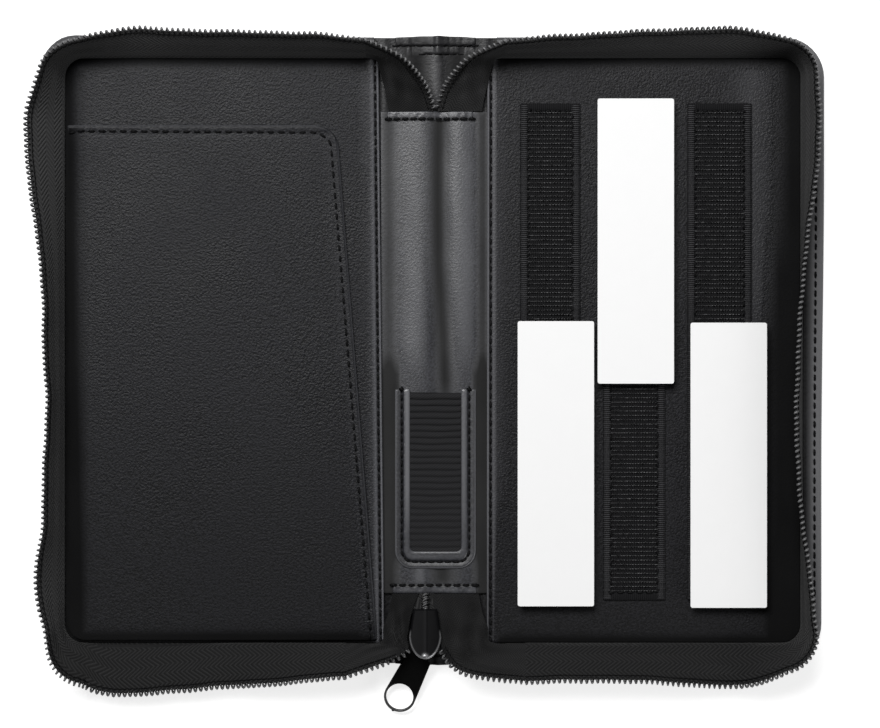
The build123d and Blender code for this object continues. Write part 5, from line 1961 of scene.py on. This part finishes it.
for mesh in (bar_mesh, burr_mesh):
    mesh.transform(Matrix.Scale(MM, 4) @ pull_frame @ Matrix.Scale(1 / MM, 4))
    mesh.materials.append(pull_enamel)
    mesh.shade_smooth()
    hand_over(add_object(mesh.name, mesh), "pull", "pull_metal")

# %% [markdown]
# Between the hem and the slider the zipper is closed: the heads of both coils pass each
# other. Two rows of turns face each other, half a pitch apart, and lie on the margins of
# both tapes, which are one narrow cloth here.

# %% Closed chain
CHAIN_STEP = 1.25
CHAIN_TURNS = 5
MARGIN_LONG, MARGIN_ROWS, MARGIN_COLUMNS = 6.6, 8, 4


def behind_slider(x, back, rise):
    """A place behind the slider's tail, on the line that the slider follows."""
    return SLIDER_TAIL + Vector((x, back * math.cos(SLIDER_PITCH), -back * math.sin(SLIDER_PITCH) + rise))


chain_rows = []
for facing, shift in ((1, 0.0), (-1, 0.5)):
    heads = [behind_slider(-facing * 0.75, (index + shift) * CHAIN_STEP - 0.4, 0.35)
             for index in range(CHAIN_TURNS)]
    chain_rows.append([(head, Vector((facing, 0, 0.12)).normalized()) for head in heads])
margin_rows = []
for index in range(MARGIN_ROWS + 1):
    middle = behind_slider(0, MARGIN_LONG * index / MARGIN_ROWS - 0.9, -0.45)
    half = 4.3 - 1.5 * index / MARGIN_ROWS
    droop = 0.04 * (index == MARGIN_ROWS)
    row = []
    for step in range(-MARGIN_COLUMNS, MARGIN_COLUMNS + 1):
        lift = 0.12 * math.cos(step * 1.3) - droop * abs(step)
        row.append(middle + Vector((half * step / MARGIN_COLUMNS, 0, lift)))
    margin_rows.append(row)
margin = lofted("closed_chain_tape", cloth_from_rows(margin_rows, 0.5), twill)
hand_over(margin, "spine", "zip_tape")
chain = repeated("closed_chain_turns", chain_rows, coil_turn, TOOTH_PITCH * 0.8, nylon)
hand_over(chain, "spine", "zip_coil", "closed_chain")

# %% [markdown]
# Thread: every seam is a row of stitches in the groove its leather already has. A seam is
# a list of places with the way up. Short bars of thread lock the seams' ends.

# %% Sewing
DOWN = Vector((0, 0, -1))
FAR_FROM_EDGE = 9.0
ENDS_ONLY = 100.0
KNOT_STEP = 0.999
knot_unit = tube_unit("knot", [(-0.7, 0.25, -0.2), (-0.2, -0.1, 0.3), (0.25, 0.15, 0.3), (0.7, -0.25, -0.2)],
                      [0.34, 0.55, 0.5, 0.3])


def seam(corners, height, step=0.8):
    """A line of places through corners, at the height a leather's own function gives."""
    flat = []
    for start, end in zip(corners, corners[1:]):
        flat += divided(start, end, step)
    flat = np.array(flat + [corners[-1]])
    levels = height(flat[:, 0], flat[:, 1]) + 0 * flat[:, 0]
    return [(Vector((x, y, z)), UP) for (x, y), z in zip(flat, levels)]


def sew(name, lines, body, slot, unit, spacing, knots=()):
    """Makes one run of stitches, with a knot at both ends of each line that asks for them."""
    made = [repeated(name, lines, unit, spacing, thread, 0.06)]
    for index, line in enumerate(knots):
        length = (line[1][0] - line[0][0]).length
        made.append(repeated(f"{name}_knots_{index + 1}", [line], knot_unit, length * KNOT_STEP, thread))
    for part in made:
        hand_over(part, body, slot)


print("stitch units:", long_stitch.name, hem_stitch.name, thin_stitch.name, knot_unit.name)

# %% [markdown]
# On each cover one seam holds the lining's rolled edge, and one goes round the border. The
# border's seam goes right through, so it shows on the outer face as well.

# %% Seams of the covers
for cover, side in sides.items():
    reach = LINING_FAR_Y - 0.9
    edge_top, edge_bottom = LINING_EDGE[side]
    line = seam([(side * (edge_top + STITCH_IN), reach), (side * (edge_bottom + STITCH_IN), -reach)],
                lambda x, y: LINING_TOP - 0.08)
    sew(f"{cover}_lining_stitches", [line], cover, "lining_leather", long_stitch, 3.0)
    border = cover_path(side, BORDER_SEAM_IN, FOLD_STRIP_OUT + 0.8, FOLD_STRIP_OUT + 0.8)
    pulled = [spot + pulled_corner(spot, side) * 0.6 for spot, _ in border]
    above = [(spot + UP * (BORDER_TOP - 0.12), UP) for spot in pulled]
    below = [(spot + UP * 0.22, DOWN) for spot in pulled]
    sew(f"{cover}_border_stitches", [above, below], cover, "cover_leather", long_stitch, 3.1)
    print(cover, "seam of", len(border), "places round the border")

# %% [markdown]
# The pocket's seam follows its two free edges, so it is the outline moved inwards, without
# the sewn sides. The pen pocket's seam follows the U, and a knot locks it at both ends.

# %% Seams of the two pockets
inner_line = [tuple(p) for p in inset_outline(pocket_outline, POCKET_STITCH_IN)
              if abs(pocket_open_edge(*p) - POCKET_STITCH_IN) < 0.6
              and p[1] > -95 and p[0] > POCKET_LEFT + 1.4]
pocket_line = [(POCKET_FOOT_RIGHT - 2.45, POCKET_FOOT_Y + 1.2)]
pocket_line += sorted(inner_line, key=lambda p: p[1] - p[0])
pocket_line.append((POCKET_LEFT + 1.7, POCKET_HEAD_Y - POCKET_STITCH_IN))
pocket_seam = seam(pocket_line, lambda x, y: pocket_top(x, y, FAR_FROM_EDGE + 0 * x) + 0.10)
sew("pocket_stitches", [pocket_seam], "front_cover", "lining_leather", long_stitch, 3.5)

PEN_SEAM_X = PEN_WIDE - PEN_STITCH_IN
PEN_SEAM_BEND = PEN_CORNER - PEN_STITCH_IN
pen_line = [(-PEN_SEAM_X, PEN_TOP - 0.3), (-PEN_SEAM_X, PEN_BEND_Y)]
pen_line += arc(-PEN_BEND_X, PEN_BEND_Y, PEN_SEAM_BEND, 180, 270, 8)
pen_line += arc(PEN_BEND_X, PEN_BEND_Y, PEN_SEAM_BEND, 270, 360, 8)
pen_line.append((PEN_SEAM_X, PEN_TOP - 0.3))
pen_seam = seam(pen_line, lambda x, y: pen_frame_top(x, y, FAR_FROM_EDGE + 0 * x) + 0.10)
pen_knots = seam([(-PEN_SEAM_X, PEN_TOP - 0.2), (PEN_SEAM_X, PEN_TOP - 0.2)],
                 lambda x, y: STRIP_TOP + 1.0, ENDS_ONLY)
sew("pen_pocket_stitches", [pen_seam], "spine", "spine_leather", long_stitch, 2.7, [pen_knots])
print("pocket seam of", len(pocket_seam), "places, pen pocket seam of", len(pen_seam))

# %% [markdown]
# The last seams: one across each band of the spine strip, two across each turned hem of
# the spine, and one round each hook strip.

# %% Seams of the hems and the hook strips
BAND_SEAMS = {"top": (-15.7, 12.2), "bottom": (-14.0, 13.2)}


def band_height(x, y):
    """How high the groove of a band's stitches lies."""
    return STRIP_TOP + 0.75 * spine_waves(x, y) + 0.42


for end_name, (left, right) in BAND_SEAMS.items():
    ends = [(left, STITCH_LINES[end_name]), (right, STITCH_LINES[end_name])]
    sew(f"strip_{end_name}_stitches", [seam(ends, band_height)], "spine", "spine_leather", hem_stitch, 2.75,
        [seam(ends, band_height, ENDS_ONLY)])

for end, end_name in ((1, "top"), (-1, "bottom")):
    lines = [seam([(left, end * (y + 0.25)), (right, end * (y + 0.25))],
                  lambda x, y, end=end: flap_hem(x, y, FAR_FROM_EDGE + 0 * x, end) + 0.02)
             for y, left, right in HEM_LINES]
    sew(f"flap_{end_name}_stitches", lines, "spine", "cover_leather", thin_stitch, 2.6)

for number, (strip_x, strip_wide) in enumerate(STRIP_PLACES, start=1):
    half_wide = strip_wide / 2 - STRIP_SEAM_IN
    low, high = STRIP_LOW + STRIP_SEAM_IN, STRIP_HIGH - STRIP_SEAM_IN
    corners = box_corners(strip_x - half_wide, strip_x + half_wide, low, high)
    corners.append((strip_x - half_wide, low + 0.1))
    stitches = seam(corners, lambda x, y: LINING_TOP + 0.68)
    sew(f"hook_strip_{number}_stitches", [stitches], "back_cover", "hook_tape", long_stitch, 3.2)
print("seams sewn on", len(BAND_SEAMS), "bands, 2 hems and", len(STRIP_PLACES), "hook strips")

# %% [markdown]
# Last, the size of the finished case is printed.

# %% Closing
low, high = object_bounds()
print("finished box:", [round(v, 4) for v in (*low, *high)])
